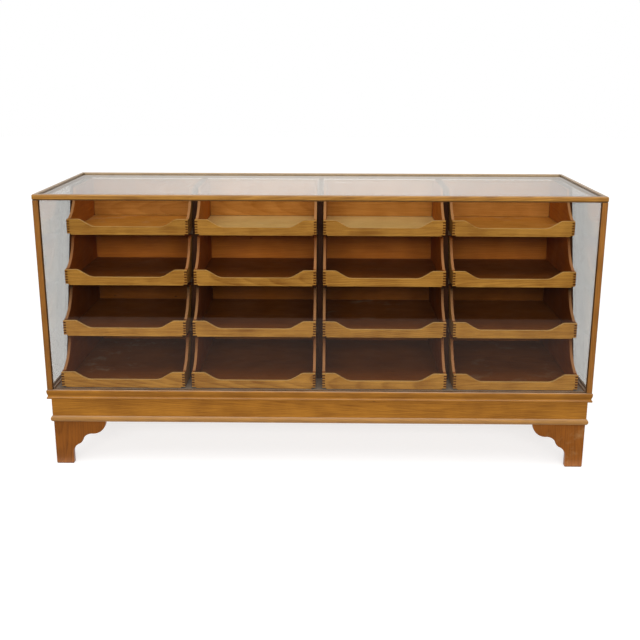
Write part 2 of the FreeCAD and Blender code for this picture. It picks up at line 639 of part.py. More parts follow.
def make_drawer(row):
    """The five boards of column 1's drawer in that row: front, left side, right side, back, bottom."""
    x0, x1 = FIRST_DRAWER, FIRST_DRAWER + DRAWER_WIDTH
    y0, low = row_front(row), row_level(row)
    foot, shoulder = low + SIDE_LIFT, low + FRONT_HEIGHT
    side_top = foot + SIDE_HEIGHT
    inner_left, inner_right = x0 + SIDE_THICKNESS, x1 - SIDE_THICKNESS
    front_inner, back_inner = y0 + FRONT_THICKNESS, DRAWER_BACK - BACK_THICKNESS
    floor = foot + BOTTOM_LIFT
    bottom = box(inner_left - BOTTOM_BITE, inner_right + BOTTOM_BITE, front_inner - BOTTOM_BITE,
                 back_inner + BOTTOM_BITE, floor, floor + BOTTOM_THICKNESS)
    side_fingers, front_fingers, back_fingers, back_side_fingers = [], [], [], []
    for near, far in ((x0, inner_left), (inner_right, x1)):
        front_fingers += comb(near, far, y0, front_inner, foot, shoulder, COMB_FINGERS, 0)
        side_fingers += comb(near, far, y0, front_inner, foot, shoulder, COMB_FINGERS, 1)
        back_fingers += comb(near, far, back_inner, DRAWER_BACK, foot, side_top, BACK_FINGERS, 0)
        back_side_fingers += comb(near, far, back_inner, DRAWER_BACK, foot, side_top, BACK_FINGERS, 1)
    spigot = Part.makeCylinder(KNOB_SPIGOT_RADIUS, KNOB_SPIGOT,
                               FreeCAD.Vector((x0 + x1) / 2, DRAWER_BACK - KNOB_SPIGOT, knob_level(row)),
                               FreeCAD.Vector(0, 1, 0))
    front = front_board(x0, y0, low).cut(side_fingers + [bottom])
    left = side_board(x0, y0, low).cut(front_fingers + back_fingers + [bottom])
    right = side_board(inner_right, y0, low).cut(front_fingers + back_fingers + [bottom])
    back = box(x0, x1, back_inner, DRAWER_BACK, low, back_top(row))
    back = back.cut(back_side_fingers + [bottom, spigot])
    return [front, left, right, back, bottom]


def knob_level(row):
    return (row_level(row) + back_top(row)) / 2


def make_knob(row):
    """Turned knob on column 1's back board: spigot, foot disc, hollow neck and domed head."""
    x = FIRST_DRAWER + DRAWER_WIDTH / 2
    z = knob_level(row)
    place = lambda radius, along: FreeCAD.Vector(x + radius, DRAWER_BACK + along, z)
    neck_end = KNOB_FOOT + KNOB_NECK
    widest = (neck_end + KNOB_PROJECTION) / 2
    dome = KNOB_PROJECTION - widest
    dome_radius = (KNOB_RADIUS ** 2 + dome ** 2) / (2 * dome)
    half_angle = math.asin(KNOB_RADIUS / dome_radius) / 2
    on_dome = (dome_radius * math.sin(half_angle), KNOB_PROJECTION - dome_radius * (1 - math.cos(half_angle)))
    edges = [line(place(0, -KNOB_SPIGOT), place(KNOB_SPIGOT_RADIUS, -KNOB_SPIGOT)),
             line(place(KNOB_SPIGOT_RADIUS, -KNOB_SPIGOT), place(KNOB_SPIGOT_RADIUS, 0)),
             line(place(KNOB_SPIGOT_RADIUS, 0), place(KNOB_FOOT_RADIUS, 0)),
             line(place(KNOB_FOOT_RADIUS, 0), place(KNOB_FOOT_RADIUS, KNOB_FOOT)),
             bow((KNOB_FOOT_RADIUS, KNOB_FOOT), (KNOB_FOOT_RADIUS, neck_end), KNOB_NECK_HOLLOW, place),
             bow((KNOB_FOOT_RADIUS, neck_end), (KNOB_RADIUS, widest), -KNOB_SWELL, place),
             Part.Arc(place(KNOB_RADIUS, widest), place(*on_dome), place(0, KNOB_PROJECTION)).toShape(),
             line(place(0, KNOB_PROJECTION), place(0, -KNOB_SPIGOT))]
    face = Part.Face(Part.Wire(edges))
    return face.revolve(FreeCAD.Vector(x, DRAWER_BACK, z), FreeCAD.Vector(0, 1, 0), 360)


# ---------------------------------------------------------------- the whole cabinet
def main():
    os.makedirs("parts", exist_ok=True)
    panes = make_panes()
    for name, pane in panes.items():
        export(name, [pane])
    for name, post in make_posts(panes).items():
        export(name, [post])
    for name, rail in make_rails(panes).items():
        export(name, [rail])
    export("base_moulding", make_moulding(panes))
    export("plinth_bead", around_three_sides(bead_section, FOOT_HEIGHT - 1, PLINTH_TOP))
    plinth_front, plinth_back, cross_boards = make_plinth()
    export("plinth_front_board", [plinth_front])
    export("plinth_back_board", [plinth_back])
    export("plinth_cross_boards", cross_boards)
    for name, pieces in make_feet().items():
        export(name, pieces)
    runners, holes, screws = make_runners()
    ends, partitions, housings = make_panels(holes)
    export("drawer_runners", runners)
    export("runner_screws", screws)
    export("end_panels", ends)
    for number, partition in enumerate(partitions, 1):
        export("partition_%d" % number, [partition])
    export("base_board", [make_base_board(housings, holes)])
    for row in range(1, ROWS + 1):
        boards = make_drawer(row)
        knob = make_knob(row)
        for column in range(COLUMNS):
            shift = column * COLUMN_PITCH
            name = "drawer_r%d_c%d" % (row, column + 1)
            export(name + "_box", [moved(board, shift) for board in boards])
            export(name + "_knob", [moved(knob, shift)])
    print("drawer width", DRAWER_WIDTH, "row pitch", ROW_PITCH, "side height", SIDE_HEIGHT)


main()
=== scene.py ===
# %% [markdown]
# # A glazed haberdashery counter in oak
# A haberdasher kept ribbons, gloves and threads in shallow trays under a glass counter: customers looked in
# from the front, and the shopkeeper drew the trays out at the back. This lesson dresses the counter's plain
# construction model in oak, glass and steel. The model is loaded first, because every board has to sit where
# it puts it and move with the body it belongs to.

# %% Load the frame
import math
import random

import bmesh
import bpy
from mathutils import Matrix, Vector


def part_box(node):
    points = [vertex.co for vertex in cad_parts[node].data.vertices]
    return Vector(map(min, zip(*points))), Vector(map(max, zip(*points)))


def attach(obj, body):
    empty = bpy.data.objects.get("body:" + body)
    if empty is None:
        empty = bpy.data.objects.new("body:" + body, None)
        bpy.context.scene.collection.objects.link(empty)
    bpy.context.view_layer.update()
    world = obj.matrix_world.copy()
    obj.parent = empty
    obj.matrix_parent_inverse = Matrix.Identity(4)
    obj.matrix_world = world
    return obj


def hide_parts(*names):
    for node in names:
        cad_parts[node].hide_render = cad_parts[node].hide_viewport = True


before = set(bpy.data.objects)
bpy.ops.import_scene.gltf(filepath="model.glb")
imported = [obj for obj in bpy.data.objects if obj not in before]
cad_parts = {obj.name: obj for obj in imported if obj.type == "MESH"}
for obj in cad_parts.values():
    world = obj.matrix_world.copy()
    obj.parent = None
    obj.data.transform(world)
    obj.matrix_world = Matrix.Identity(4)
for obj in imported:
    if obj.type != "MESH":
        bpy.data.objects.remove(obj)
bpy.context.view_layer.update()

MM = 0.001
X, Y, Z = Vector((1, 0, 0)), Vector((0, 1, 0)), Vector((0, 0, 1))

# %% [markdown]
# ## The camera
# The counter is seen from a little right of its middle and from just above a seated person's eyes, looking
# down by about fifteen degrees. A lens somewhat longer than normal keeps the uprights nearly parallel. The
# camera could be aimed with a constraint, but a place and three small turns are easier to adjust.

# %% Camera
CAMERA_PLACE = Vector((0.0392, -3.2416, 1.3357))
CAMERA_YAW, CAMERA_PITCH, CAMERA_ROLL = 0.0121, -0.2708, -0.0026
CAMERA_LENS, CAMERA_SENSOR = 52.18, 36.0


def show(made):
    """Links an object into the scene."""
    bpy.context.scene.collection.objects.link(made)
    return made


camera_data = bpy.data.cameras.new("studio_camera")
camera_data.lens, camera_data.sensor_width = CAMERA_LENS, CAMERA_SENSOR
camera_data.clip_start, camera_data.clip_end = 0.05, 60.0
camera = show(bpy.data.objects.new("studio_camera", camera_data))
look = (Matrix.Rotation(CAMERA_YAW, 3, "Z") @ Matrix.Rotation(CAMERA_PITCH, 3, "X")
        @ Matrix.Rotation(CAMERA_ROLL, 3, "Y"))
right, ahead, upward = look.col
turn = Matrix((right, upward, -ahead)).transposed().to_4x4()
camera.matrix_world = Matrix.Translation(CAMERA_PLACE) @ turn
bpy.context.scene.camera = camera
print("camera at", [round(c, 3) for c in CAMERA_PLACE], "looking", [round(c, 3) for c in ahead])

# %% [markdown]
# ## Adding nodes
# Materials, shared effects and the sky are all built from nodes. Helpers keep them readable: one fills a
# node's inputs, one adds a node, and the others stand for the nodes that are used most.

# %% Node helpers
FLOAT, COLOUR, VECTOR = "NodeSocketFloat", "NodeSocketColor", "NodeSocketVector"


def fill(tree, node, inputs):
    """Fills a node's inputs with values or other nodes' outputs."""
    for key, value in dict(inputs).items():
        if isinstance(value, bpy.types.NodeSocket):
            tree.links.new(value, node.inputs[key])
        else:
            node.inputs[key].default_value = value
    return node


def add(tree, kind, inputs=(), **settings):
    """Adds a shader node, sets its properties and fills its inputs."""
    node = tree.nodes.new("ShaderNode" + kind)
    for key, value in settings.items():
        setattr(node, key, value)
    return fill(tree, node, inputs)


def sums(tree, operation, a, b=0.0, c=0.0, clamp=False):
    """One step of arithmetic, given as values or sockets."""
    return add(tree, "Math", {0: a, 1: b, 2: c}, operation=operation, use_clamp=clamp).outputs[0]


def blend(tree, factor, *colours):
    """Mixes two colours, each a socket or its red, green and blue."""
    a, b = (c if isinstance(c, bpy.types.NodeSocket) else (*c, 1.0) for c in colours)
    return add(tree, "Mix", {"Factor": factor, 6: a, 7: b}, data_type="RGBA").outputs[2]


def remap(tree, value, low, high, to_low=0.0, to_high=1.0):
    """Stretches low to high over 0 to 1, or over the other two values given."""
    return add(tree, "MapRange", {"Value": value, "From Min": low, "From Max": high, "To Min": to_low,
                                  "To Max": to_high}).outputs["Result"]


def noise(tree, vector, scale, detail, roughness=0.5):
    inputs = {"Vector": vector, "Scale": scale, "Detail": detail, "Roughness": roughness}
    return add(tree, "TexNoise", inputs).outputs["Fac"]


def stretched(tree, vector, *scale):
    """The same position, with its three axes scaled apart."""
    return add(tree, "Mapping", {"Vector": vector, "Scale": scale}).outputs[0]


def object_place(tree):
    return add(tree, "TexCoord").outputs["Object"]


print("node helpers are ready")

# %% [markdown]
# A material starts with a Principled shader, which suits wood and steel. Glass and cards need other shaders,
# so a helper shows another one instead.

# %% Material helpers
def new_material(name):
    """A material, its tree and its Principled shader."""
    material = bpy.data.materials.new(name)
    material.use_nodes = True
    return material, material.node_tree, material.node_tree.nodes["Principled BSDF"]


def show_instead(tree, shader):
    """Shows a shader in place of the one that the tree started with."""
    tree.nodes.remove(tree.nodes["Principled BSDF"])
    tree.links.new(shader.outputs[0], tree.nodes["Material Output"].inputs["Surface"])


def mix(tree, factor, a, b):
    return add(tree, "MixShader", {0: factor, 1: a.outputs[0], 2: b.outputs[0]})


def plain_material(name, colour, roughness, glow=(0.0, 0.0, 0.0)):
    material, tree, shader = new_material(name)
    fill(tree, shader, {"Base Color": (*colour, 1), "Roughness": roughness, "Specular IOR Level": 0.2,
                        "Emission Color": (*glow, 1), "Emission Strength": 1.0})
    return material


def card_material(name, glow):
    """A card that glows evenly on its face and isn't there from behind."""
    material, tree, _ = new_material(name)
    face = add(tree, "Emission", {"Color": (*glow, 1.0)})
    nothing = add(tree, "BsdfTransparent")
    from_behind = add(tree, "NewGeometry").outputs["Backfacing"]
    show_instead(tree, mix(tree, from_behind, face, nothing))
    return material


print("material helpers are ready")

# %% [markdown]
# ## The studio
# A counter like this looks its best on a pale sweep under wide, soft light. Glass and varnish mirror what
# stands round them, though, and a bright floor would veil the drawers. So what they mirror is set apart from
# what the camera sees: cards on the floor show only in reflections. The near one is dim and the far one
# black, which keeps the front pane clear, and two more do the same for the side panes.

# %% Floor and cards
FLOOR_REACH = 14.0
LEVEL, REACH = 0.004, 4.0
START, MEET, END = -0.33, -2.19, -9.0   # from the front feet towards the camera
SIDE_LEVEL, WIDE = 0.003, 9.0
SIDE_START = 0.93                       # from the side panes outwards
SIDE_GLOW = (0.13, 0.115, 0.105)
CARDS = (("near_card", (-REACH, MEET, REACH, START), LEVEL, (0.235, 0.19, 0.168), True),
         ("dark_card", (-REACH, END, REACH, MEET), LEVEL, (0.0, 0.0, 0.0), True),
         ("side_card_left", (-WIDE, -WIDE, -SIDE_START, WIDE), SIDE_LEVEL, SIDE_GLOW, False),
         ("side_card_right", (SIDE_START, -WIDE, WIDE, WIDE), SIDE_LEVEL, SIDE_GLOW, False))


def stage_mesh(name, bm, material):
    """Stands a mesh in the studio, apart from the counter."""
    mesh = bpy.data.meshes.new(name)
    bm.to_mesh(mesh)
    bm.free()
    mesh.materials.append(material)
    made = show(bpy.data.objects.new(name, mesh))
    return made


def level_sheet(name, left, front, right, back, level, material):
    bm = bmesh.new()
    corners = ((left, front), (right, front), (right, back), (left, back))
    bm.faces.new([bm.verts.new((x, y, level)) for x, y in corners])
    return stage_mesh(name, bm, material)


def mirrored_only(card, tints_wood=False):
    """The camera doesn't see the card: it shows in reflections, and may colour the light on wood too."""
    card.visible_camera = card.visible_transmission = card.visible_shadow = False
    card.visible_diffuse = tints_wood


paper = plain_material("sweep_paper", (0.5, 0.5, 0.5), 0.9, (0.72, 0.72, 0.72))
level_sheet("studio_floor", -FLOOR_REACH, -FLOOR_REACH, FLOOR_REACH, FLOOR_REACH, 0, paper)
for name, sides, level, glow, tints_wood in CARDS:
    mirrored_only(level_sheet(name, *sides, level, card_material(name, glow)), tints_wood)
print("studio: a floor and", len(CARDS), "cards")

# %% [markdown]
# The top pane mirrors what stands behind the counter, and a ring of pale wall gives it a calm sheen from
# every side. It is a circle of edges pulled upwards. Its paint glows less away from the middle, so that the
# side panes stay quieter than the top.

# %% Pale walls
WALL_RADIUS, WALL_FOOT, WALL_HEIGHT = 6.0, 1.0, 3.5
WALL_BRIGHT, WALL_DULL = (0.94, 0.88, 0.82), (0.72, 0.69, 0.66)
BRIGHT_UNTIL, DULL_FROM = 0.9, 2.4

bm = bmesh.new()
bmesh.ops.create_circle(bm, segments=48, radius=WALL_RADIUS)
bmesh.ops.translate(bm, vec=(0, 0, WALL_FOOT), verts=bm.verts)
grown = bmesh.ops.extrude_edge_only(bm, edges=bm.edges[:])
upper = [part for part in grown["geom"] if isinstance(part, bmesh.types.BMVert)]
bmesh.ops.translate(bm, vec=(0, 0, WALL_HEIGHT), verts=upper)
wall_paint = plain_material("pale_walls", (0.0, 0.0, 0.0), 0.9)
tree = wall_paint.node_tree
across = add(tree, "SeparateXYZ", {"Vector": object_place(tree)}).outputs["X"]
aside = remap(tree, sums(tree, "ABSOLUTE", across), BRIGHT_UNTIL, DULL_FROM)
fill(tree, tree.nodes["Principled BSDF"], {"Emission Color": blend(tree, aside, WALL_BRIGHT, WALL_DULL)})
mirrored_only(stage_mesh("pale_walls", bm, wall_paint))
print("walls:", WALL_HEIGHT, "m high,", 2 * WALL_RADIUS, "m across")

# %% [markdown]
# A sun lamp with a very wide angle lights near and far floor alike, as an overcast sky does, and a broad
# window lamp fills in the front. The sky lights the room faintly, yet is plain white to the camera, so that
# no horizon shows.

# %% Lamps and sky
SUN_SPREAD, SUN_STRENGTH = math.radians(70.0), 1.8
WINDOW_WIDTH, WINDOW_HEIGHT, WINDOW_STRENGTH = 4.5, 1.0, 170.0
ROOM_STRENGTH = 0.13


def hang_lamp(name, kind, place, aim, strength):
    data = bpy.data.lights.new(name, kind)
    data.energy = strength
    made = bpy.data.objects.new(name, data)
    turn = (Vector(aim) - Vector(place)).to_track_quat("-Z", "Y")
    made.matrix_world = Matrix.Translation(place) @ turn.to_matrix().to_4x4()
    return show(made)


sun = hang_lamp("ceiling_light", "SUN", (0.0, 0.0, 0.0), (0.05, 0.2, -1.0), SUN_STRENGTH)
sun.data.angle = SUN_SPREAD
window = hang_lamp("front_window", "AREA", (0.0, -5.0, 2.15), (0.0, 0.0, 0.7), WINDOW_STRENGTH)
window.data.shape = "RECTANGLE"
window.data.size, window.data.size_y = WINDOW_WIDTH, WINDOW_HEIGHT
window.visible_camera = window.visible_glossy = False

world = bpy.data.worlds.new("studio_sky")
world.use_nodes = True
sky = world.node_tree
room = fill(sky, sky.nodes["Background"], {"Color": (0.97, 0.98, 1.0, 1.0), "Strength": ROOM_STRENGTH})
backdrop = add(sky, "Background", {"Color": (1.0, 1.0, 1.0, 1.0), "Strength": 1.0})
ray = add(sky, "LightPath")
seen = sums(sky, "MAXIMUM", ray.outputs["Is Camera Ray"], ray.outputs["Is Transmission Ray"])
sky.links.new(mix(sky, seen, room, backdrop).outputs[0], sky.nodes["World Output"].inputs["Surface"])
bpy.context.scene.world = world
bpy.context.scene.view_settings.view_transform = "Standard"
print("lights:", [light.name for light in bpy.data.lights])

# %% [markdown]
# ## Oak grain
# Oak is ring-porous: each year's growth starts with a band of open pores, seen as fine dark dashes along
# the grain, and a board sawn flat shows the rings as nested arches. A picture wrapped round each board would
# stretch and repeat, so a node group makes the grain in space: rings round the log's middle, tilted a little
# so that the arches close up, then streaks, pores and a slow change of tone. The rings end softly, because a
# sharp end looks like a scallop's edge.

# %% Oak grain
RING_SPACING = 5.0 * MM        # between two years' growth, where the board is cut nearly square to them
LOG_MIDDLE, LOG_TILT = (0.0, 0.02, 0.07), (0.0, 0.05, 0.025)


def new_group(name, inputs, outputs):
    """An empty effect that takes a position and the named inputs, each (name, kind, default)."""
    group = bpy.data.node_groups.new(name, "ShaderNodeTree")
    group.interface.new_socket("Vector", in_out="INPUT", socket_type=VECTOR)
    for label, kind, default in inputs:
        group.interface.new_socket(label, in_out="INPUT", socket_type=kind).default_value = default
    for label, kind in outputs:
        group.interface.new_socket(label, in_out="OUTPUT", socket_type=kind)
    return group, group.nodes.new("NodeGroupInput").outputs, group.nodes.new("NodeGroupOutput").inputs


tree, given, made = new_group(
    "oak_grain",
    [("Light", COLOUR, (0.5, 0.3, 0.1, 1)), ("Dark", COLOUR, (0.3, 0.15, 0.04, 1)), ("Rings", FLOAT, 0.5),
     ("Streaks", FLOAT, 0.5), ("Pores", FLOAT, 0.5), ("Tone", FLOAT, 0.0)],
    [("Color", COLOUR), ("Pores", FLOAT), ("Height", FLOAT)])
tilted = add(tree, "Mapping", {"Vector": given["Vector"], "Location": LOG_MIDDLE, "Rotation": LOG_TILT})
rings = add(tree, "TexWave",
            {"Vector": tilted.outputs[0], "Scale": math.tau / (20 * RING_SPACING), "Distortion": 2.6,
             "Detail": 2.0, "Detail Scale": 0.12, "Detail Roughness": 0.55},
            wave_type="RINGS", rings_direction="X", wave_profile="SAW").outputs["Fac"]
ring_line = sums(tree, "MINIMUM", sums(tree, "POWER", rings, 1.8), remap(tree, rings, 1.0, 0.85))
streaks = noise(tree, stretched(tree, given["Vector"], 7.0, 150.0, 150.0), 1.0, 5.0, 0.68)
streaks = remap(tree, streaks, 0.34, 0.66)
pores = noise(tree, stretched(tree, given["Vector"], 45.0, 1300.0, 1300.0), 1.0, 1.0)
pores = sums(tree, "MULTIPLY", remap(tree, pores, 0.56, 0.70), remap(tree, ring_line, 0.0, 1.0, 0.35, 1.0))
cloud = remap(tree, noise(tree, given["Vector"], 11.0, 2.0), 0.3, 0.7, -0.2, 0.2)
dark_share = sums(tree, "MULTIPLY", ring_line, given["Rings"])
dark_share = sums(tree, "MULTIPLY_ADD", streaks, given["Streaks"], dark_share)
dark_share = sums(tree, "MULTIPLY_ADD", pores, given["Pores"], dark_share)
dark_share = sums(tree, "ADD", dark_share, cloud, clamp=True)
toned = add(tree, "HueSaturation",
            {"Color": blend(tree, dark_share, given["Light"], given["Dark"]),
             "Value": sums(tree, "ADD", given["Tone"], 1.0)})
sunk = sums(tree, "MULTIPLY_ADD", pores, -0.7, sums(tree, "MULTIPLY", streaks, -0.3))
for label, value in (("Color", toned.outputs["Color"]), ("Pores", pores), ("Height", sunk)):
    tree.links.new(value, made[label])
oak_grain = tree
print("group", tree.name, "has", len(tree.nodes), "nodes")

# %% [markdown]
# ## Wear, dirt and painted shade, knocks, dust and painted sheen
# Handling rubs the finish off a board's corners, and dirt settles where boards meet, with shade painted in
# there too. The Bevel node bends the normal near an edge, so comparing it with the true one finds edges, and
# ambient occlusion finds nooks. Knocks lie in a few scattered cells, and dust, with a painted sheen, on
# faces that look up. Wear is never even, so noise breaks the masks up.

# %% Masks for wear
KNOCKS_PER_METRE = 11.0
KNOCK_SIZE = 0.022             # as a share of the space between knocks


def new_mask(name, amount, *inputs):
    return new_group(name, [*inputs, ("Amount", FLOAT, amount)], [("Mask", FLOAT)])


def finish_mask(tree, given, made, found, broken_up):
    """The mask is what was found, broken up, times the amount."""
    share = sums(tree, "MULTIPLY", sums(tree, "MULTIPLY", found, broken_up), given["Amount"])
    tree.links.new(share, made["Mask"])
    print("group", tree.name)
    return tree


tree, given, made = new_mask("worn_edges", 0.6, ("Radius", FLOAT, 1.5 * MM))
rounded = add(tree, "Bevel", {"Radius": given["Radius"]}, samples=4)
true_normal = add(tree, "NewGeometry").outputs["Normal"]
likeness = add(tree, "VectorMath", {0: rounded.outputs[0], 1: true_normal}, operation="DOT_PRODUCT")
patches = remap(tree, noise(tree, given["Vector"], 38.0, 3.0), 0.35, 0.62)
worn_edges = finish_mask(tree, given, made, remap(tree, likeness.outputs["Value"], 0.99, 0.86), patches)

# Dirt and painted shade: the nooks that ambient occlusion finds are darkened.
tree, given, made = new_mask("dirt_and_painted_shade", 0.5, ("Reach", FLOAT, 12.0 * MM))
shaded_nooks = add(tree, "AmbientOcclusion", {"Distance": given["Reach"]}, samples=6).outputs["AO"]
patches = remap(tree, noise(tree, given["Vector"], 24.0, 3.0), 0.3, 0.7, 0.55, 1.0)
dirt_and_painted_shade = finish_mask(tree, given, made, remap(tree, shaded_nooks, 0.75, 0.15), patches)

tree, given, made = new_mask("knocks", 0.75)
longer = stretched(tree, given["Vector"], 0.6, 1.0, 1.0)
spots = add(tree, "TexVoronoi", {"Vector": longer, "Scale": KNOCKS_PER_METRE}).outputs
chosen = add(tree, "SeparateColor", {"Color": spots["Color"]}).outputs["Red"]
knocks = finish_mask(tree, given, made, remap(tree, spots["Distance"], KNOCK_SIZE * 2, KNOCK_SIZE),
                     sums(tree, "GREATER_THAN", chosen, 0.45))

# Dust and painted sheen: faces that look up are paled.
tree, given, made = new_mask("dust_and_sheen", 0.5)
true_normal = add(tree, "NewGeometry").outputs["Normal"]
facing_up = add(tree, "SeparateXYZ", {"Vector": true_normal}).outputs["Z"]
patches = remap(tree, noise(tree, given["Vector"], 14.0, 4.0), 0.3, 0.7, 0.45, 1.0)
dust_and_sheen = finish_mask(tree, given, made, remap(tree, facing_up, 0.6, 0.98), patches)

# %% [markdown]
# ## One function for every oak finish
# The whole counter is oak under old varnish or wax, but its parts have aged apart, so a finish is only its
# own colours and amounts. A sawn board carries its place in the log as the attribute "grain", and the plain
# construction pieces use their place in the object instead. "end" tells sawn ends, which drink in varnish
# and turn dark, from faces that hands have rubbed pale, and it carries painted shade and painted highlights
# too. "tone" shades one board from the next and also carries painted shade, and "scuff" says how scratched
# a board is.

# %% Oak finish
ALONG_X = (0.0, 0.0, 0.0)
ALONG_Y = (0.0, 0.0, -math.pi / 2)
ALONG_Z = (0.0, math.pi / 2, 0.0)
KNOCK_COLOUR, DIRT_AND_SHADE_COLOUR, DUST_AND_SHEEN_COLOUR = (0.035, 0.016, 0.006), (0.02, 0.012, 0.006), (0.46, 0.38, 0.31)


def effect(tree, group, vector, **values):
    """Places a shared effect in a finish, with the finish's own values."""
    return add(tree, "Group", {"Vector": vector, **values}, node_tree=group).outputs


def carried(tree, name, output="Fac"):
    """An attribute that the boards carry."""
    return add(tree, "Attribute", attribute_name=name).outputs[output]


def oak_finish(name, light, dark, roughness=0.5, coat=0.0, along=None, rings=0.45, streaks=0.4,
               edge=(0.62, 0.42, 0.2), paling=0.45, dirt_and_shade=0.6, reach=12.0, scuff=(0.62, 0.55, 0.46), shine=0.05,
               dust=0.0):
    """A finish of two oak colours. along is None where the piece has its own "grain" attribute."""
    material, tree, shader = new_material(name)
    if along is None:
        vector = carried(tree, "grain", "Vector")
    else:
        vector = add(tree, "Mapping", {"Vector": object_place(tree), "Rotation": along}).outputs[0]
    grain = effect(tree, oak_grain, vector, Light=(*light, 1), Dark=(*dark, 1), Rings=rings, Streaks=streaks,
                   Pores=0.35, Tone=carried(tree, "tone"))
    end = carried(tree, "end")
    sawn_and_shade = sums(tree, "MULTIPLY", end, 0.9, clamp=True)
    rub_and_highlight = sums(tree, "MULTIPLY", end, -1.0, clamp=True)
    scratches = remap(tree, noise(tree, vector, 9.0, 5.0, 0.7), 0.57, 0.72)
    scratches = sums(tree, "MULTIPLY", scratches, carried(tree, "scuff"))
    # Sawn ends and painted shade darken the wood, and rubbing and painted highlights pale it.
    layers = [(sawn_and_shade, [0.3 * part for part in dark]), (rub_and_highlight, edge),
              (effect(tree, knocks, vector)["Mask"], KNOCK_COLOUR),
              (effect(tree, worn_edges, vector, Amount=paling)["Mask"], edge), (scratches, scuff),
              (effect(tree, dirt_and_painted_shade, vector, Amount=dirt_and_shade, Reach=reach * MM)["Mask"], DIRT_AND_SHADE_COLOUR)]
    # Upward faces take dust and a painted sheen.
    if dust:
        layers.append((effect(tree, dust_and_sheen, vector, Amount=dust)["Mask"], DUST_AND_SHEEN_COLOUR))
    colour = grain["Color"]
    for mask, layer in layers:
        colour = blend(tree, mask, colour, layer)
    rough = remap(tree, noise(tree, vector, 16.0, 4.0), 0.3, 0.7, roughness - 0.07, roughness + 0.07)
    rough = sums(tree, "MULTIPLY_ADD", grain["Pores"], 0.18, rough)
    rough = sums(tree, "MULTIPLY_ADD", scratches, 0.2, rough, clamp=True)
    relief = add(tree, "Bump", {"Height": grain["Height"], "Distance": 0.25 * MM, "Strength": 0.6})
    fill(tree, shader, {"Base Color": colour, "Roughness": rough, "Normal": relief.outputs[0],
                        "Specular IOR Level": shine, "Coat Weight": coat, "Coat Roughness": 0.22})
    return material


print("oak finishes share", oak_grain.name)

# %% [markdown]
# The glazed frame was wiped daily and shines most. The plinth is browner, with more dust and painted sheen
# on its upward faces, and the feet are redder and scuffed by shoes and brooms.

# %% Finishes outside
frame_oak = oak_finish("frame_oak", (0.52, 0.245, 0.038), (0.21, 0.08, 0.008), 0.4, 0.5, streaks=0.5,
                       edge=(0.62, 0.46, 0.28), dirt_and_shade=0.85, shine=0.5, dust=0.45)
post_oak = oak_finish("post_oak", (0.39, 0.155, 0.022), (0.17, 0.06, 0.007), 0.4, 0.4, dirt_and_shade=0.85, shine=0.5)
plinth_oak = oak_finish("plinth_oak", (0.52, 0.215, 0.022), (0.22, 0.074, 0.006), 0.42, 0.25, rings=0.35,
                        streaks=0.5, paling=0.25, dirt_and_shade=0.95, shine=0.4, dust=0.6)
foot_oak = oak_finish("foot_oak", (0.33, 0.105, 0.012), (0.13, 0.037, 0.004), 0.42, 0.2, rings=0.3,
                      streaks=0.35, edge=(0.50, 0.26, 0.10), dirt_and_shade=1.8, scuff=(0.46, 0.27, 0.11), shine=0.3)
knob_oak = oak_finish("knob_oak", (0.46, 0.21, 0.035), (0.22, 0.085, 0.010), 0.36, 0.25, shine=0.2)
print("finishes for frame, posts, plinth, feet and knobs")

# %% [markdown]
# The drawers' fronts are honey coloured. Their insides were only waxed, and daylight through the top pane
# has faded the top row, whose middle bottoms are the palest. The rows below are a deep red-brown, partly
# painted shade. Close along the top row's joints, dark lines of painted shade run between back and bottom.

# %% Finishes of the drawers
SIDE_EDGE = (0.56, 0.29, 0.13)
drawer_oak = oak_finish("drawer_oak", (0.645, 0.312, 0.056), (0.25, 0.086, 0.011), rings=0.4, streaks=0.5,
                        edge=(0.80, 0.52, 0.20), shine=0.1)
faded_back = oak_finish("faded_back", (0.66, 0.295, 0.062), (0.36, 0.12, 0.012), rings=0.3, dirt_and_shade=2.2,
                        reach=5.0)
faded_side = oak_finish("faded_side", (0.50, 0.16, 0.014), (0.29, 0.075, 0.005), rings=0.25, edge=SIDE_EDGE,
                        paling=0.15)
faded_floor = oak_finish("faded_floor", (0.56, 0.22, 0.032), (0.34, 0.115, 0.010), dirt_and_shade=2.0, reach=5.0)
pale_floor = oak_finish("pale_floor", (0.75, 0.47, 0.17), (0.56, 0.31, 0.085), dirt_and_shade=2.0, reach=5.0)
deep_back = oak_finish("deep_back", (0.56, 0.175, 0.024), (0.32, 0.082, 0.009), rings=0.25)
deep_side = oak_finish("deep_side", (0.40, 0.10, 0.008), (0.23, 0.048, 0.003), rings=0.25, edge=SIDE_EDGE,
                       paling=0.15)
deep_floor = oak_finish("deep_floor", (0.27, 0.080, 0.011), (0.15, 0.034, 0.003), scuff=(0.33, 0.235, 0.15))
print("finishes for fronts, and for faded and deep drawers")

# %% [markdown]
# The upright panels are painted nearly black, as the shade deep between the drawers, the base board is
# grey, with dust and painted sheen on top, and the runners were left bare and waxed so that the drawers
# slide.

# %% Finishes of the carcase
panel_painted_shade = oak_finish("panel_painted_shade", (0.075, 0.026, 0.010), (0.030, 0.010, 0.004), 0.6, along=ALONG_Z,
                         edge=(0.16, 0.08, 0.04), paling=0.3, dirt_and_shade=0.0)
base_stain = oak_finish("base_stain", (0.20, 0.13, 0.075), (0.09, 0.052, 0.028), 0.6, along=ALONG_X,
                        edge=(0.2, 0.14, 0.09), paling=0.3, shine=0.1, dust=0.6)
runner_wax = oak_finish("runner_wax", (0.30, 0.19, 0.10), (0.20, 0.12, 0.06), along=ALONG_Y, shine=0.2)
print("finishes for panels, base board and runners")

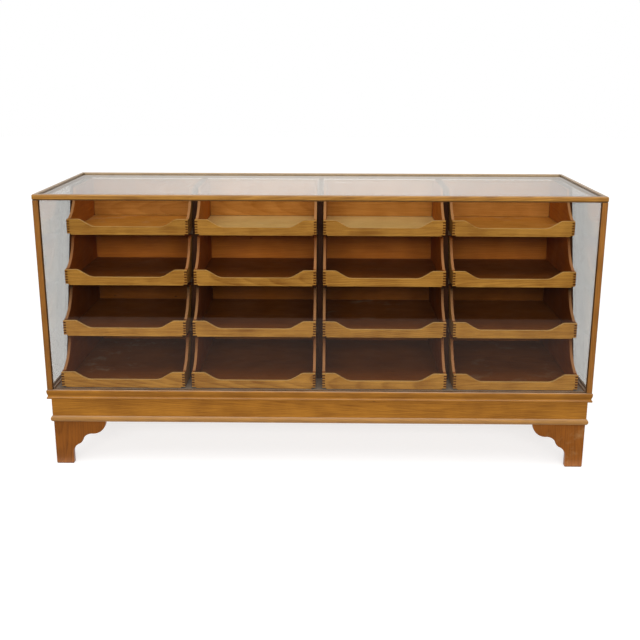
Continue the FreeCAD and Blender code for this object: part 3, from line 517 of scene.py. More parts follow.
# %% [markdown]
# ## Glass
# Refracting glass keeps light from the drawers and leaves the picture grainy. A thin pane hardly shifts what
# lies behind it, so a transparent shader lets light straight through, a little dimmed, and a mirror takes
# the share that Fresnel gives. The Fresnel node turns its bend over on faces seen from inside. Light runs
# straight here, so the bend is turned over once more, or the far face would mirror everything at a slant.
# Dust drawn downwards by a cloth keeps the panes from vanishing. Beside the bars lies a dark rim, partly
# grime and partly painted shade.

# %% Glass
GRIME_AND_SHADE_REACH = 14.0 * MM         # how far from the bars the dark rim of grime and painted shade reaches
DUST_ON_GLASS, GRIME_AND_SHADE_ON_GLASS = (0.75, 0.74, 0.72, 1), (0.05, 0.03, 0.018, 1)


def glass_finish(name, tint, veil, strength, grime_and_shade):
    material, tree, _ = new_material(name)
    leaving = add(tree, "NewGeometry").outputs["Backfacing"]
    bend = remap(tree, leaving, 0.0, 1.0, strength, 1.0 / strength)
    mirrored = add(tree, "Fresnel", {"IOR": bend}).outputs[0]
    passing = add(tree, "BsdfTransparent", {"Color": (*tint, 1)})
    mirror = add(tree, "BsdfGlossy", {"Color": (1, 1, 1, 1), "Roughness": 0.0})
    smears = noise(tree, stretched(tree, object_place(tree), 22.0, 22.0, 1.2), 1.0, 4.0)
    veiled = remap(tree, smears, 0.35, 0.75, 0.3 * veil, veil)
    dust = add(tree, "BsdfDiffuse", {"Color": DUST_ON_GLASS})
    # Where ambient occlusion finds the bars near, the pane's face is darkened: grime and painted shade.
    shaded_nooks = add(tree, "AmbientOcclusion", {"Distance": GRIME_AND_SHADE_REACH}, samples=6).outputs["AO"]
    entering = sums(tree, "SUBTRACT", 1.0, leaving)
    shaded_rim = sums(tree, "MULTIPLY", remap(tree, shaded_nooks, 0.75, 0.15, 0.0, grime_and_shade), entering, clamp=True)
    grime_and_shade_rim = add(tree, "BsdfDiffuse", {"Color": GRIME_AND_SHADE_ON_GLASS})
    pane = mix(tree, veiled, mix(tree, mirrored, passing, mirror), dust)
    show_instead(tree, mix(tree, shaded_rim, pane, grime_and_shade_rim))
    return material


plate_glass = glass_finish("plate_glass", (0.97, 0.975, 0.97), 0.002, 1.5, 1.8)
side_glass = glass_finish("side_glass", (0.85, 0.845, 0.835), 0.008, 1.38, 0.25)
print("glass:", plate_glass.name, side_glass.name)

# %% [markdown]
# The runners' screws are steel that has dulled. Tarnish is two greys and two roughnesses over one noise.

# %% Screw steel
screw_steel, tree, shader = new_material("screw_steel")
tarnish = noise(tree, object_place(tree), 400.0, 3.0)
tarnished = blend(tree, remap(tree, tarnish, 0.4, 0.65), (0.45, 0.43, 0.40), (0.16, 0.12, 0.09))
fill(tree, shader, {"Base Color": tarnished, "Roughness": remap(tree, tarnish, 0.3, 0.7, 0.3, 0.6),
                    "Metallic": 1.0, "Specular IOR Level": 0.2})
print("steel:", screw_steel.name)

# %% [markdown]
# ## Sawing boards
# Every wooden piece here is a flat outline with a thickness: a drawer front is sawn from a board, and a
# moulding is a section as long as the counter. So one way of working makes them all. Spin sweeps an
# outline's hollows and rounds, and a vertex bevel rounds its corners.

# %% Outlines
TOUCH = 0.001 * MM             # nearer than this, two points are one
ARC_STEPS = 12


def flat_outline(points):
    """One flat face. points are (x, y) or (x, y, swell) in millimetres: swell bows the run that ends there,
    to the left of its way where it is positive."""
    bm = bmesh.new()
    start = points[-1]
    for x, y, *swell in points:
        here, there = Vector((start[0], start[1], 0)) * MM, Vector((x, y, 0)) * MM
        if swell:
            chord = (there - here).length
            rise = abs(swell[0]) * MM
            radius = (chord * chord / 4 + rise * rise) / (2 * rise)
            left = Vector((here.y - there.y, there.x - here.x, 0)).normalized()
            centre = (here + there) / 2 - left * math.copysign(radius - rise, swell[0])
            sweep = 4 * math.atan(2 * rise / chord)
            bmesh.ops.spin(bm, geom=[bm.verts.new(here)], cent=centre, axis=Z,
                           angle=-math.copysign(sweep, swell[0]), steps=ARC_STEPS)
        else:
            bm.edges.new((bm.verts.new(here), bm.verts.new(there)))
        start = (x, y)
    bmesh.ops.remove_doubles(bm, verts=bm.verts, dist=TOUCH)
    bmesh.ops.contextual_create(bm, geom=bm.edges[:])
    return bm


def bevel(bm, geom, width, steps, what="EDGES", **more):
    bmesh.ops.bevel(bm, geom=geom, offset=width * MM, offset_type="OFFSET", segments=steps, profile=0.5,
                    affect=what, material=-1, **more)


def round_corner(bm, x, y, reach, steps=5):
    """Rounds the outline's corner at x, y, from that far along each side of it."""
    corner = Vector((x, y, 0)) * MM
    bevel(bm, [v for v in bm.verts if (v.co - corner).length < 10 * TOUCH], reach, steps, "VERTICES")


print("outlines have arcs of", ARC_STEPS, "steps")

# %% [markdown]
# Extruding the face gives the board its thickness, and an edge bevel eases what a plane or a hand would have
# taken off. Then the board is stood in place by the directions of its three axes. A bar or a moulding is
# mitred by shearing its end: each point slides along by as much as it lies in from the outer face.

# %% Thickness and edges
SHARP = math.radians(32.0)


def thicken(bm, thickness):
    """Extrudes the flat outline upwards. Returns the vertices of the new end."""
    grown = bmesh.ops.extrude_face_region(bm, geom=bm.faces[:])
    far_end = [part for part in grown["geom"] if isinstance(part, bmesh.types.BMVert)]
    bmesh.ops.translate(bm, verts=far_end, vec=(0, 0, thickness * MM))
    bmesh.ops.recalc_face_normals(bm, faces=bm.faces[:])
    return far_end


def section(points, rounds, length, mitres=(0, 0), steps=5):
    """A length of a section, its corners rounded at each (x, y, reach). mitres are the ends' slopes."""
    bm = flat_outline(points)
    for corner in rounds:
        round_corner(bm, *corner, steps)
    near_end = bm.verts[:]
    far_end = thicken(bm, length)
    for end, slope in zip((near_end, far_end), mitres):
        shear = Matrix.Identity(4)
        shear[2][0] = slope
        bmesh.ops.transform(bm, matrix=shear, verts=end)
    return bm


def ease_edges(bm, width, steps=2):
    """Bevels every edge that is sharper than a worn one would be."""
    sharp = [edge for edge in bm.edges if len(edge.link_faces) == 2 and edge.calc_face_angle() > SHARP]
    bevel(bm, sharp, width, steps, clamp_overlap=True)


def stand(bm, x_to, y_to, z_to, origin):
    """Turns the sawn piece so that its own x, y and z run along those three directions, from origin."""
    turn = Matrix((x_to, y_to, z_to)).transposed().to_4x4()
    bmesh.ops.transform(bm, matrix=Matrix.Translation(Vector(origin) * MM) @ turn, verts=bm.verts)
    bmesh.ops.recalc_face_normals(bm, faces=bm.faces[:])
    return bm


print("edges over", round(math.degrees(SHARP)), "degrees are eased")

# %% [markdown]
# Real boards come from different logs. So each draws its own offset in the grain, from one seeded generator,
# and keeps it as an attribute that moves with the wood. Sawn ends, rubbed faces, painted highlights and
# painted shade are marked too.

# %% Grain and marks
luck = random.Random(1926)


def new_layers(bm):
    """The layers that a board's grain, scuff, tone and end are written in."""
    return (bm.verts.layers.float_vector.new("grain"), bm.verts.layers.float.new("scuff"),
            bm.faces.layers.float.new("tone"), bm.faces.layers.float.new("end"))


def carry_grain(bm, along="x", tone=0.0, scuff=0.0, end_share=1.0):
    """Writes where each vertex lies in its own log, and which faces are sawn ends."""
    grain, scuffs, tones, ends = new_layers(bm)
    order = {"x": (0, 1, 2), "y": (1, 0, 2), "z": (2, 0, 1)}[along]
    offset = Vector((luck.uniform(-3, 3), luck.uniform(-0.05, 0.05), luck.uniform(-0.03, 0.03)))
    for v in bm.verts:
        v[grain] = offset + Vector([v.co[axis] for axis in order])
        v[scuffs] = scuff
    for face in bm.faces:
        face[tones] = tone
        face[ends] = end_share if abs(face.normal[order[0]]) > 0.8 else 0.0


def mark(bm, chosen, amount):
    """Makes the chosen faces pale where amount is below nothing and dark where it's above: rubbing, painted
    highlights and painted shade.
    """
    ends = bm.faces.layers.float["end"]
    for face in filter(chosen, bm.faces):
        face[ends] = amount


print("the logs' offsets are drawn from one seed")

# %% [markdown]
# A piece is the boards that are glued together, and weighted normals make its broad faces look flat between
# eased edges. It rides on its body and stands for a node of the construction model.

# %% Assembling a piece
SMOOTH_BELOW = math.radians(50.0)


def assemble(name, boards, materials, body, slot, *nodes):
    """Makes one piece of the boards, on its body, and lets it stand for those CAD nodes."""
    mesh = bpy.data.meshes.new(name)
    whole = bmesh.new()
    new_layers(whole)
    for board in boards:
        board.to_mesh(mesh)
        board.free()
        whole.from_mesh(mesh)
    whole.to_mesh(mesh)
    whole.free()
    mesh.shade_smooth()
    mesh.set_sharp_from_angle(angle=SMOOTH_BELOW)
    for material in materials:
        mesh.materials.append(material)
    made = show(bpy.data.objects.new(name, mesh))
    made.modifiers.new("weighted_normals", "WEIGHTED_NORMAL").keep_sharp = True
    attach(made, body)
    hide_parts(*nodes)
    return made


print("pieces look smooth below", round(math.degrees(SMOOTH_BELOW)), "degrees")

# %% [markdown]
# ## The glazed frame
# Four posts and four rails, planed from the same square stock, hold the glass. One outer corner of a bar is
# rounded for the hand, grooves hold the panes, and the rails have a rebate for the top pane. The rear and
# side rails are paler on top and inside than the front one, and every rail's underside is painted dark as
# shade.

# %% Rails and posts
BAR = 19.0
GROOVE = (6.5, 12.5)           # where a groove starts and ends across the bar
GROOVE_DEPTH = 5.0
REBATE_WALL = 12.0             # wood outside the top pane's rebate
REBATE_FLOOR = 7.5             # from the rails' undersides up to that rebate
HAND_ROUND = 5.0
GLASS_ROUND = 4.5              # along the rails' lower edge, whose downward faces are painted dark as shade
GLASS_LINE_SHADE = 0.75
BAR_EASE, BAR_TONES = 1.2, (-0.05, 0.05)
near, far = GROOVE
groove_floor = BAR - GROOVE_DEPTH


def rail(length, grooved, paling):
    """A rail's top and inner faces are paler by that much, and its downward faces are painted dark along its
    foot, as shade.
    """
    groove = [(near, 0), (near, GROOVE_DEPTH), (far, GROOVE_DEPTH), (far, 0)] if grooved else []
    points = [(0, 0), *groove, (BAR, 0), (BAR, REBATE_FLOOR), (REBATE_WALL, REBATE_FLOOR),
              (REBATE_WALL, BAR), (0, BAR)]
    bm = section(points, [(0, BAR, HAND_ROUND), (0, 0, GLASS_ROUND)], length, (1.0, -1.0))
    carry_grain(bm, "z", luck.uniform(*BAR_TONES))
    mark(bm, lambda face: face.normal.y > 0.5 or face.normal.x > 0.5, -paling)
    # The downward faces along the rail's foot are painted dark, as shade.
    mark(bm, lambda face: face.normal.y < -0.1, GLASS_LINE_SHADE)
    ease_edges(bm, BAR_EASE)
    return bm


def post(groove_x, groove_y):
    """A post may have a groove in either inner face."""
    on_x = [(BAR, near), (groove_floor, near), (groove_floor, far), (BAR, far)] if groove_x else []
    on_y = [(far, BAR), (far, groove_floor), (near, groove_floor), (near, BAR)] if groove_y else []
    bm = section([(0, 0), (BAR, 0), *on_x, (BAR, BAR), *on_y, (0, BAR)], [(0, 0, HAND_ROUND)], height)
    carry_grain(bm, "z", luck.uniform(*BAR_TONES))
    ease_edges(bm, BAR_EASE)
    return bm


front_low, front_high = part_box("rail_front")
left_face, right_face = front_low.x / MM, front_high.x / MM
front_face, back_face = front_low.y / MM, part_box("rail_back")[1].y / MM
rail_foot = front_low.z / MM
case_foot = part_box("base_moulding")[1].z / MM
width, depth, height = right_face - left_face, back_face - front_face, rail_foot - case_foot
for node, bar, ways, across, along in (
        ("rail_front", rail(width, True, 0.1), (Y, Z, X), left_face, front_face),
        ("rail_back", rail(width, False, 0.9), (-Y, Z, -X), right_face, back_face),
        ("rail_left", rail(depth, True, 0.7), (X, Z, -Y), left_face, back_face),
        ("rail_right", rail(depth, True, 0.7), (-X, Z, Y), right_face, front_face),
        ("post_front_left", post(True, True), (X, Y, Z), left_face, front_face),
        ("post_front_right", post(True, True), (Y, -X, Z), right_face, front_face),
        ("post_rear_left", post(True, False), (-Y, X, Z), left_face, back_face),
        ("post_rear_right", post(False, True), (-X, -Y, Z), right_face, back_face)):
    upright = node.startswith("post")
    stand(bar, *ways, (across, along, case_foot if upright else rail_foot))
    assemble("oak_" + node, [bar], [post_oak if upright else frame_oak], "case", "frame_oak", node)
print("bars: 4 rails and 4 posts round a case", round(width), "by", round(depth), "mm")

# %% [markdown]
# ## Mouldings and plinth
# The case stands on a moulding run along the front and both sides, over a plain board with a half-round bead
# along its foot. A joiner runs each section with a plane and mitres it at the two front corners. Drawing the
# section once and sweeping it along three lengths does the same.

# %% Moulding and bead
PROUD = 2.0                    # the lips' projection from the posts' faces
MOULDING, LIP, LIP_ROUND, FILLET, WAIST = 32.0, 20.0, 5.0, 4.5, 3.0
COVE_SWELL, LIP_SWELL, BEAD_SWELL = 1.2, -0.7, 6.0
MOULDING_TONE, PLINTH_TONES = -0.12, (-0.04, 0.04)


def three_sides(points, level, rounds=(), ease=0.5, paling=0.0, tone=0.0):
    """Front, left and right lengths of one section. x is measured outwards from the posts' faces."""
    lengths = []
    for length, ways, origin, mitres in (
            (width, (-Y, Z, -X), (right_face, front_face, level), (-1.0, 1.0)),
            (depth, (-X, Z, Y), (left_face, front_face, level), (-1.0, 0.0)),
            (depth, (X, Z, -Y), (right_face, back_face, level), (0.0, 1.0))):
        bm = section(points, rounds, length, mitres, 6)
        carry_grain(bm, "z", tone + luck.uniform(*PLINTH_TONES))
        # Outward faces are painted paler by that much; on the bead this is a painted highlight.
        if paling:
            mark(bm, lambda face: face.normal.x > 0.2, -paling)
        ease_edges(bm, ease)
        lengths.append(stand(bm, *ways, origin))
    return lengths


plinth_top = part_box("base_moulding")[0].z / MM
bottom = MOULDING - GROOVE_DEPTH
points = [(-BAR, 0), (PROUD, 0), (PROUD, FILLET), (PROUD - WAIST, MOULDING - LIP, COVE_SWELL),
          (PROUD, MOULDING - LIP_ROUND, LIP_SWELL), (PROUD, MOULDING), (-near, MOULDING), (-near, bottom),
          (-far, bottom), (-far, MOULDING), (-BAR, MOULDING)]
moulding = three_sides(points, plinth_top, [(PROUD, MOULDING, LIP_ROUND)], tone=MOULDING_TONE)
assemble("oak_base_moulding", moulding, [plinth_oak], "case", "plinth_oak", "base_moulding")
bead_low, bead_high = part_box("plinth_bead")
board_low, board_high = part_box("plinth_front_board")
inset = board_low.y / MM - front_face
bead_height = (bead_high.z - bead_low.z) / MM
# The bead's outward faces carry a painted highlight.
bead = three_sides([(-inset, bead_height), (-inset, 0, BEAD_SWELL)], bead_low.z / MM, ease=0.3, paling=0.25)
assemble("oak_plinth_bead", bead, [plinth_oak], "case", "plinth_oak", "plinth_bead")
print("moulding", MOULDING, "mm high, bead", round(bead_height), "mm")

# %% [markdown]
# The plinth boards are plain: the same sweep makes the outer ones, and scaled cubes the inner ones. Three
# bearers cross the plinth under the partitions.

# %% Plinth boards
def plain_board(near, far, along="x", tone=0.0, scuff=0.0, ease=0.6):
    """A squared board between two opposite corners in millimetres."""
    near, far = Vector(near), Vector(far)
    bm = bmesh.new()
    bmesh.ops.create_cube(bm, size=1.0)
    bmesh.ops.scale(bm, vec=[abs(side) * MM for side in far - near], verts=bm.verts)
    carry_grain(bm, along, tone, scuff)
    ease_edges(bm, ease)
    bmesh.ops.translate(bm, vec=(near + far) / 2 * MM, verts=bm.verts)
    return bm


BEARER_TONE, BACK_BOARD_TONE = -0.15, -0.1
BOARD = (board_high.y - board_low.y) / MM
plinth_foot, plinth_height = board_low.z / MM, (board_high.z - board_low.z) / MM
points = [(-inset - BOARD, 0), (-inset, 0), (-inset, plinth_height), (-inset - BOARD, plinth_height)]
front_length, *cross_boards = three_sides(points, plinth_foot)
assemble("oak_plinth_front", [front_length], [plinth_oak], "case", "plinth_oak", "plinth_front_board")
back_low, back_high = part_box("plinth_back_board")
for column in (1, 2, 3):
    low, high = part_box("partition_%d" % column)
    middle = (low.x + high.x) / 2 / MM
    cross_boards.append(plain_board((middle - BOARD / 2, board_high.y / MM, plinth_foot),
                                    (middle + BOARD / 2, back_low.y / MM, plinth_top), "y", BEARER_TONE))
assemble("oak_plinth_sides", cross_boards, [plinth_oak], "case", "plinth_oak", "plinth_cross_boards")
back_board = plain_board(back_low / MM, back_high / MM, "x", BACK_BOARD_TONE)
assemble("oak_plinth_back", [back_board], [plinth_oak], "case", "plinth_oak", "plinth_back_board")
print("plinth boards", round(plinth_height), "mm high, with", len(cross_boards), "boards across")

# %% [markdown]
# ## Bracket feet
# Each foot is two brackets mitred at the corner, with a block glued behind them. The bracket's edge is cut
# with a bow saw: a straight leg, a hollow, a soft cusp, a wider hollow and a rounded end under the bead. The
# flat outline carries all of that, so the rest is one extrusion and an eased edge.

# %% Feet
LEG, LEG_STRAIGHT, TOE = 60.0, 41.0, 4.0
BRACKET_RUNS = ((LEG, 0.0), (0.0, LEG_STRAIGHT), (19.0, 30.0, 4.8), (14.0, 11.0, -1.6), (33.0, 27.5, 7.3))
ROUND_END, END_SWELL = 51.0, -15.2
FOOT_THICK = BOARD - 2.0
BRACKET_TONES, BRACKET_SCUFF = (-0.06, 0.04), 0.5
BLOCK, BLOCK_LIFT, BLOCK_TONE = 24.0, 6.0, -0.2


def bracket():
    """A bracket's outline is walked run by run, each (along, up) or (along, up, swell)."""
    x = y = 0.0
    points = [(x, y)]
    for along, up, *swell in BRACKET_RUNS:
        x, y = x + along, y + up
        points.append((x, y, *swell))
    bm = flat_outline([*points, (x + ROUND_END, plinth_foot, END_SWELL), (0, plinth_foot)])
    for corner in (0, LEG):
        round_corner(bm, corner, 0, TOE, 4)
    far_end = thicken(bm, FOOT_THICK)
    corner_line = [v for v in far_end if v.co.x < (TOE + 0.1) * MM]
    bmesh.ops.translate(bm, verts=corner_line, vec=(FOOT_THICK * MM, 0, 0))
    carry_grain(bm, "y", luck.uniform(*BRACKET_TONES), BRACKET_SCUFF)
    ease_edges(bm, 1.0)
    return bm


for node, across, along in (("foot_front_left", X, Y), ("foot_front_right", -X, Y),
                            ("foot_rear_left", X, -Y), ("foot_rear_right", -X, -Y)):
    low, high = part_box(node)
    corner = Vector(((low if across.x > 0 else high).x, (low if along.y > 0 else high).y, 0)) / MM
    inner = corner + (across + along) * FOOT_THICK + Z * BLOCK_LIFT
    reach = (across + along) * BLOCK + Z * (plinth_top - 2 * BLOCK_LIFT)
    block = plain_board(inner, inner + reach, "z", BLOCK_TONE)
    brackets = [stand(bracket(), across, Z, along, corner), stand(bracket(), along, Z, across, corner)]
    assemble("oak_" + node, [*brackets, block], [foot_oak], "case", "foot_oak", node)
print("feet:", round(plinth_foot), "mm high, brackets", round((high.x - low.x) / MM), "mm long")

# %% [markdown]
# ## Drawers
# A haberdashery tray is low in front, with a scoop to see in by, and high at the back. Its boards are comb
# jointed: each end is sawn into fingers that fit between its neighbour's. Slicing the flat outline along the
# finger lines and dropping every second slice cuts the whole comb before the board is thickened.

# %% Comb joints
def slice_flat(bm, faces, point, way):
    """Cuts the faces in two at the point, square to that way."""
    geom = set(faces)
    for face in faces:
        geom.update(face.verts)
        geom.update(face.edges)
    bmesh.ops.bisect_plane(bm, geom=list(geom), dist=TOUCH / 10, plane_co=Vector(point) * MM, plane_no=way)


def cut_comb(bm, tip, root, low, high, count, first):
    """Drops every second finger, from number first, of the end between x = tip and x = root, whose comb
    runs from y = low to y = high."""
    step = (high - low) / count
    slice_flat(bm, bm.faces[:], (root, 0, 0), X)
    between = sorted((tip * MM, root * MM))
    for line in range(count + 1):
        end = [f for f in bm.faces if between[0] < f.calc_center_median().x < between[1]]
        slice_flat(bm, end, (0, low + line * step, 0), Y)
    waste = []
    for face in bm.faces:
        middle = face.calc_center_median()
        finger = math.floor((middle.y / MM - low) / step)
        if between[0] < middle.x < between[1] and 0 <= finger < count and finger % 2 == first:
            waste.append(face)
    bmesh.ops.delete(bm, geom=waste, context="FACES")


def one_board(bm, thickness):
    """Joins the slices that are left into one outline again and makes a board of it."""
    bmesh.ops.dissolve_faces(bm, faces=bm.faces[:])
    bmesh.ops.dissolve_limit(bm, angle_limit=math.radians(0.3), verts=bm.verts[:], edges=bm.edges[:])
    thicken(bm, thickness)
    return bm


print("every second finger is dropped from a comb")

# %% [markdown]
# The front has its scoop and a notch over each runner, and a side rises to the back in a hollow curve. Only
# the depth differs from row to row, because each row stands further back than the one below it.

# %% Boards of a drawer
DRAWER_FRONT, DRAWER_SIDE, DRAWER_BACK, DRAWER_FLOOR = 12.0, 9.5, 16.0, 5.0
FRONT_HEIGHT, SIDE_FOOT, SIDE_TOP = 54.0, 4.0, 149.0
SHOULDER, SLOPE, DIP = 44.0, 44.0, 26.0
SHOULDER_REACH, DIP_REACH = 4.0, 12.3
RUNNER_NOTCH = 13.5
FRONT_COMB, BACK_COMB = 11, 16
CURVE_START, CURVE_RUN, CURVE_HOLLOW, CURVE_REACH = 26.0, 89.0, 16.0, 6.0


def drawer_front(wide):
    near, far, dip = SHOULDER, SHOULDER + SLOPE, FRONT_HEIGHT - DIP
    scoop = [(near, FRONT_HEIGHT, SHOULDER_REACH), (far, dip, DIP_REACH), (wide - far, dip, DIP_REACH),
             (wide - near, FRONT_HEIGHT, SHOULDER_REACH)]
    bm = flat_outline([(0, FRONT_HEIGHT), *(corner[:2] for corner in scoop), (wide, FRONT_HEIGHT),
                       (wide, SIDE_FOOT), (wide - RUNNER_NOTCH, SIDE_FOOT), (wide - RUNNER_NOTCH, 0),
                       (RUNNER_NOTCH, 0), (RUNNER_NOTCH, SIDE_FOOT), (0, SIDE_FOOT)])
    for corner in scoop:
        round_corner(bm, *corner, 6)
    cut_comb(bm, 0, DRAWER_SIDE, SIDE_FOOT, FRONT_HEIGHT, FRONT_COMB, 1)
    cut_comb(bm, wide, wide - DRAWER_SIDE, SIDE_FOOT, FRONT_HEIGHT, FRONT_COMB, 1)
    return one_board(bm, DRAWER_FRONT)


def drawer_side(deep):
    head = CURVE_START + CURVE_RUN
    bm = flat_outline([(0, FRONT_HEIGHT), (CURVE_START, FRONT_HEIGHT), (head, SIDE_TOP, -CURVE_HOLLOW),
                       (deep, SIDE_TOP), (deep, SIDE_FOOT), (0, SIDE_FOOT)])
    round_corner(bm, head, SIDE_TOP, CURVE_REACH)
    cut_comb(bm, 0, DRAWER_FRONT, SIDE_FOOT, FRONT_HEIGHT, FRONT_COMB, 0)
    cut_comb(bm, deep, deep - DRAWER_BACK, SIDE_FOOT, SIDE_TOP, BACK_COMB, 0)
    return one_board(bm, DRAWER_SIDE)


def drawer_back(wide, tall):
    bm = flat_outline([(0, 0), (wide, 0), (wide, tall), (0, tall)])
    cut_comb(bm, 0, DRAWER_SIDE, SIDE_FOOT, SIDE_TOP, BACK_COMB, 1)
    cut_comb(bm, wide, wide - DRAWER_SIDE, SIDE_FOOT, SIDE_TOP, BACK_COMB, 1)
    return one_board(bm, DRAWER_BACK)


print("combs: front", FRONT_COMB, "fingers, back", BACK_COMB)

# %% [markdown]
# A side's curved edge is rounded over, rubbed pale by hands and painted with a highlight. Towards its top it
# is painted darker, as shade from the drawer above.

# %% Curved edges
SIDE_ROUND = 3.4
CURVE_RUB_AND_HIGHLIGHT, CURVE_SHADE = 0.6, 0.55
FACES_FORWARD = -0.15          # the least slope of the curve's faces towards the front


def on_curve(face):
    """Whether a side's face is the flat middle of its curved edge."""
    above = face.calc_center_median().y > FRONT_HEIGHT * MM
    return above and face.normal.x < FACES_FORWARD and abs(face.normal.z) < 0.1


def rub_highlight_and_shade_curve(bm, shaded):
    """Rubs the curved edge pale with a painted highlight, less so towards its top, where painted shade
    darkens it.
    """
    ends, tones = bm.faces.layers.float["end"], bm.faces.layers.float["tone"]
    for face in filter(on_curve, bm.faces):
        up = (face.calc_center_median().y / MM - FRONT_HEIGHT) / (SIDE_TOP - FRONT_HEIGHT)
        shade = shaded * up ** 2
        face[ends] = -CURVE_RUB_AND_HIGHLIGHT + CURVE_SHADE * shade
        face[tones] -= CURVE_RUB_AND_HIGHLIGHT * shade


def round_front(bm):
    """Rounds both long edges of the curved edge."""
    head, foot = (CURVE_START + CURVE_RUN) * MM, (FRONT_HEIGHT + 0.5) * MM
    curve = [e for e in bm.edges if abs(e.verts[0].co.z - e.verts[1].co.z) < TOUCH
             and all(v.co.y > foot and v.co.x < head for v in e.verts)
             and any(f.normal.x < FACES_FORWARD for f in e.link_faces)]
    bevel(bm, curve, SIDE_ROUND, 4, clamp_overlap=True)


print("curved edges are rounded by", SIDE_ROUND, "mm")

# %% [markdown]
# Outside, all the boards are dressed like the fronts, and the sides carry painted shade where they face the
# gaps, but inside the top row has faded and the lower rows are deep in colour, partly painted shade. A
# bottom board shrinks away from the back, a dark line of painted shade runs along it, and a few bottoms are
# scuffed.

# %% Sixteen drawers
PLACES = [(row, column) for row in (1, 2, 3, 4) for column in (1, 2, 3, 4)]
PALE_COLUMNS = (2, 3)
BOARD_TONES, FLOOR_TONES = (-0.07, 0.07), (-0.1, 0.0)
# Painted shade: the inner boards of rows 3 and 4 are made darker.
ROW_PAINTED_SHADE = {1: 0.0, 2: 0.0, 3: -0.48, 4: -0.2}
OUTER_SHADE = -0.3              # painted shade on the sides' outer faces, in the gaps beside the partitions
SCUFFS = {(4, 1): 0.8, (3, 3): 0.7, (4, 4): 0.45, (2, 1): 0.3, (3, 1): 0.3, (1, 1): 0.2}
LEAST_SCUFF = 0.1
FRONT_EASE, BOARD_EASE, FLOOR_EASE, FRONT_RUB_AND_HIGHLIGHT = 0.8, 0.4, 0.2, 0.4
FLOOR_LIFT, FLOOR_HOUSED, FLOOR_SHORT = 4.0, 1.0, 1.5


def in_finish(bm, number, outwards=None, tone=0.0):
    """Gives a board the piece's finish of that number, but the first one on the side that looks outwards."""
    tones = bm.faces.layers.float["tone"]
    for face in bm.faces:
        face.material_index = number
        if outwards is not None and face.normal.dot(outwards) > 0.5:
            face.material_index = 0
            face[tones] = tone
    return bm


def drawer(row, column):
    name = "drawer_r%d_c%d" % (row, column)
    low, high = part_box(name + "_box")
    low, high = low / MM, high / MM
    wide, deep, tall = high - low
    tones = [luck.uniform(*BOARD_TONES) for _ in range(4)]
    front, back = drawer_front(wide), drawer_back(wide, tall)
    left, right = drawer_side(deep), drawer_side(deep)
    carry_grain(front, "x", tones[0])
    # The fronts' upward faces along the top edge are rubbed pale and carry a painted highlight.
    mark(front, lambda face: face.normal.y > 0.3, -FRONT_RUB_AND_HIGHLIGHT)
    ease_edges(front, FRONT_EASE)
    for board, tone in zip((left, right, back), tones[1:]):
        carry_grain(board, "x", tone + ROW_PAINTED_SHADE[row])
        if board is not back:
            round_front(board)
            rub_highlight_and_shade_curve(board, 0.0 if row == 1 else 1.0)
        ease_edges(board, BOARD_EASE)
    inset, level = DRAWER_SIDE - FLOOR_HOUSED, low.z + SIDE_FOOT + FLOOR_LIFT
    bottom = plain_board((low.x + inset, low.y + DRAWER_FRONT - FLOOR_HOUSED, level),
                         (high.x - inset, high.y - DRAWER_BACK - FLOOR_SHORT, level + DRAWER_FLOOR),
                         "x", luck.uniform(*FLOOR_TONES), SCUFFS.get((row, column), LEAST_SCUFF), FLOOR_EASE)
    stand(front, X, Z, Y, low)
    stand(back, X, Z, Y, (low.x, high.y - DRAWER_BACK, low.z))
    stand(left, Y, Z, X, low)
    stand(right, Y, Z, X, (high.x - DRAWER_SIDE, low.y, low.z))
    boards = [front, in_finish(back, 1, Y, tones[3]), in_finish(left, 2, -X, tones[1] + OUTER_SHADE),
              in_finish(right, 2, X, tones[2] + OUTER_SHADE), in_finish(bottom, 3)]
    # The lower rows' deep finishes are partly painted shade.
    finishes = [drawer_oak, deep_back, deep_side, deep_floor]
    if row == 1:
        finishes[1:] = faded_back, faded_side, pale_floor if column in PALE_COLUMNS else faded_floor
    return assemble("oak_" + name, boards, finishes, name, "drawer_oak", name + "_box")


drawers = [drawer(row, column) for row, column in PLACES]
print("drawers:", len(drawers), "of", len(drawers[0].data.polygons), "faces each")

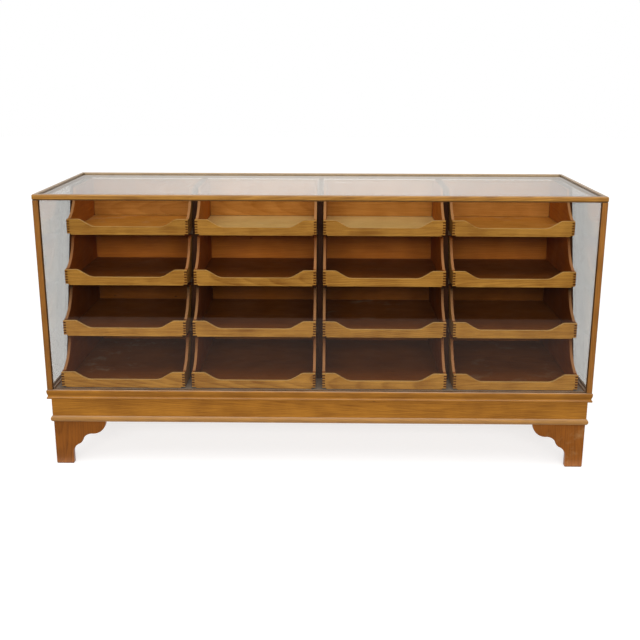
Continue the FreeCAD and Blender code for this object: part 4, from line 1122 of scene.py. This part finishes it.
# %% [markdown]
# ## Knobs
# The knobs are turned: a cutter runs along a profile while the wood spins. Spin does just that with an
# outline drawn from the axis out and swept a full turn.

# %% Turned knobs
KNOB_PROFILE = [(10, -0.5), (10, 2.5), (10, 9.5, 3.4), (15, 16.75, -1.2), (0, 24, -1.91), (0, -0.5)]
KNOB_STEPS, KNOB_TONES, KNOB_END = 40, (-0.08, 0.08), 0.3


def turned_knob(place):
    bm = flat_outline(KNOB_PROFILE)
    bmesh.ops.delete(bm, geom=bm.faces[:], context="FACES_ONLY")
    on_axis = [e for e in bm.edges if all(abs(v.co.x) < TOUCH for v in e.verts)]
    bmesh.ops.delete(bm, geom=on_axis, context="EDGES")
    bmesh.ops.spin(bm, geom=bm.verts[:] + bm.edges[:], cent=(0, 0, 0), axis=Y, angle=math.tau,
                   steps=KNOB_STEPS, use_merge=True)
    bmesh.ops.remove_doubles(bm, verts=bm.verts, dist=TOUCH)
    bmesh.ops.recalc_face_normals(bm, faces=bm.faces[:])
    carry_grain(bm, "y", luck.uniform(*KNOB_TONES), end_share=KNOB_END)
    return stand(bm, X, Y, Z, place)


for place in PLACES:
    name = "drawer_r%d_c%d" % place
    low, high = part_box(name + "_knob")
    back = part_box(name + "_box")[1].y
    centre = Vector(((low.x + high.x) / 2, back, (low.z + high.z) / 2)) / MM
    assemble("turned_%s_knob" % name, [turned_knob(centre)], [knob_oak], name, "knob_oak", name + "_knob")
print("knobs:", len(PLACES))

# %% [markdown]
# ## What stays as the construction model has it
# The panes, panels, runners and screws are already the right shape, so they only take their finishes.

# %% Finishes for the carried-over nodes
CARRIED = {"glass_front": plate_glass, "glass_top": plate_glass, "glass_": side_glass,
           "end_panels": panel_painted_shade, "partition_": panel_painted_shade, "base_board": base_stain,
           "drawer_runners": runner_wax, "runner_screws": screw_steel}
for node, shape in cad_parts.items():
    for start, finish in CARRIED.items():
        if node.startswith(start):
            for material_slot in shape.material_slots:
                material_slot.material = finish
            break
print("carried over:", sorted(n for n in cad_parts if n.startswith(tuple(CARRIED))))
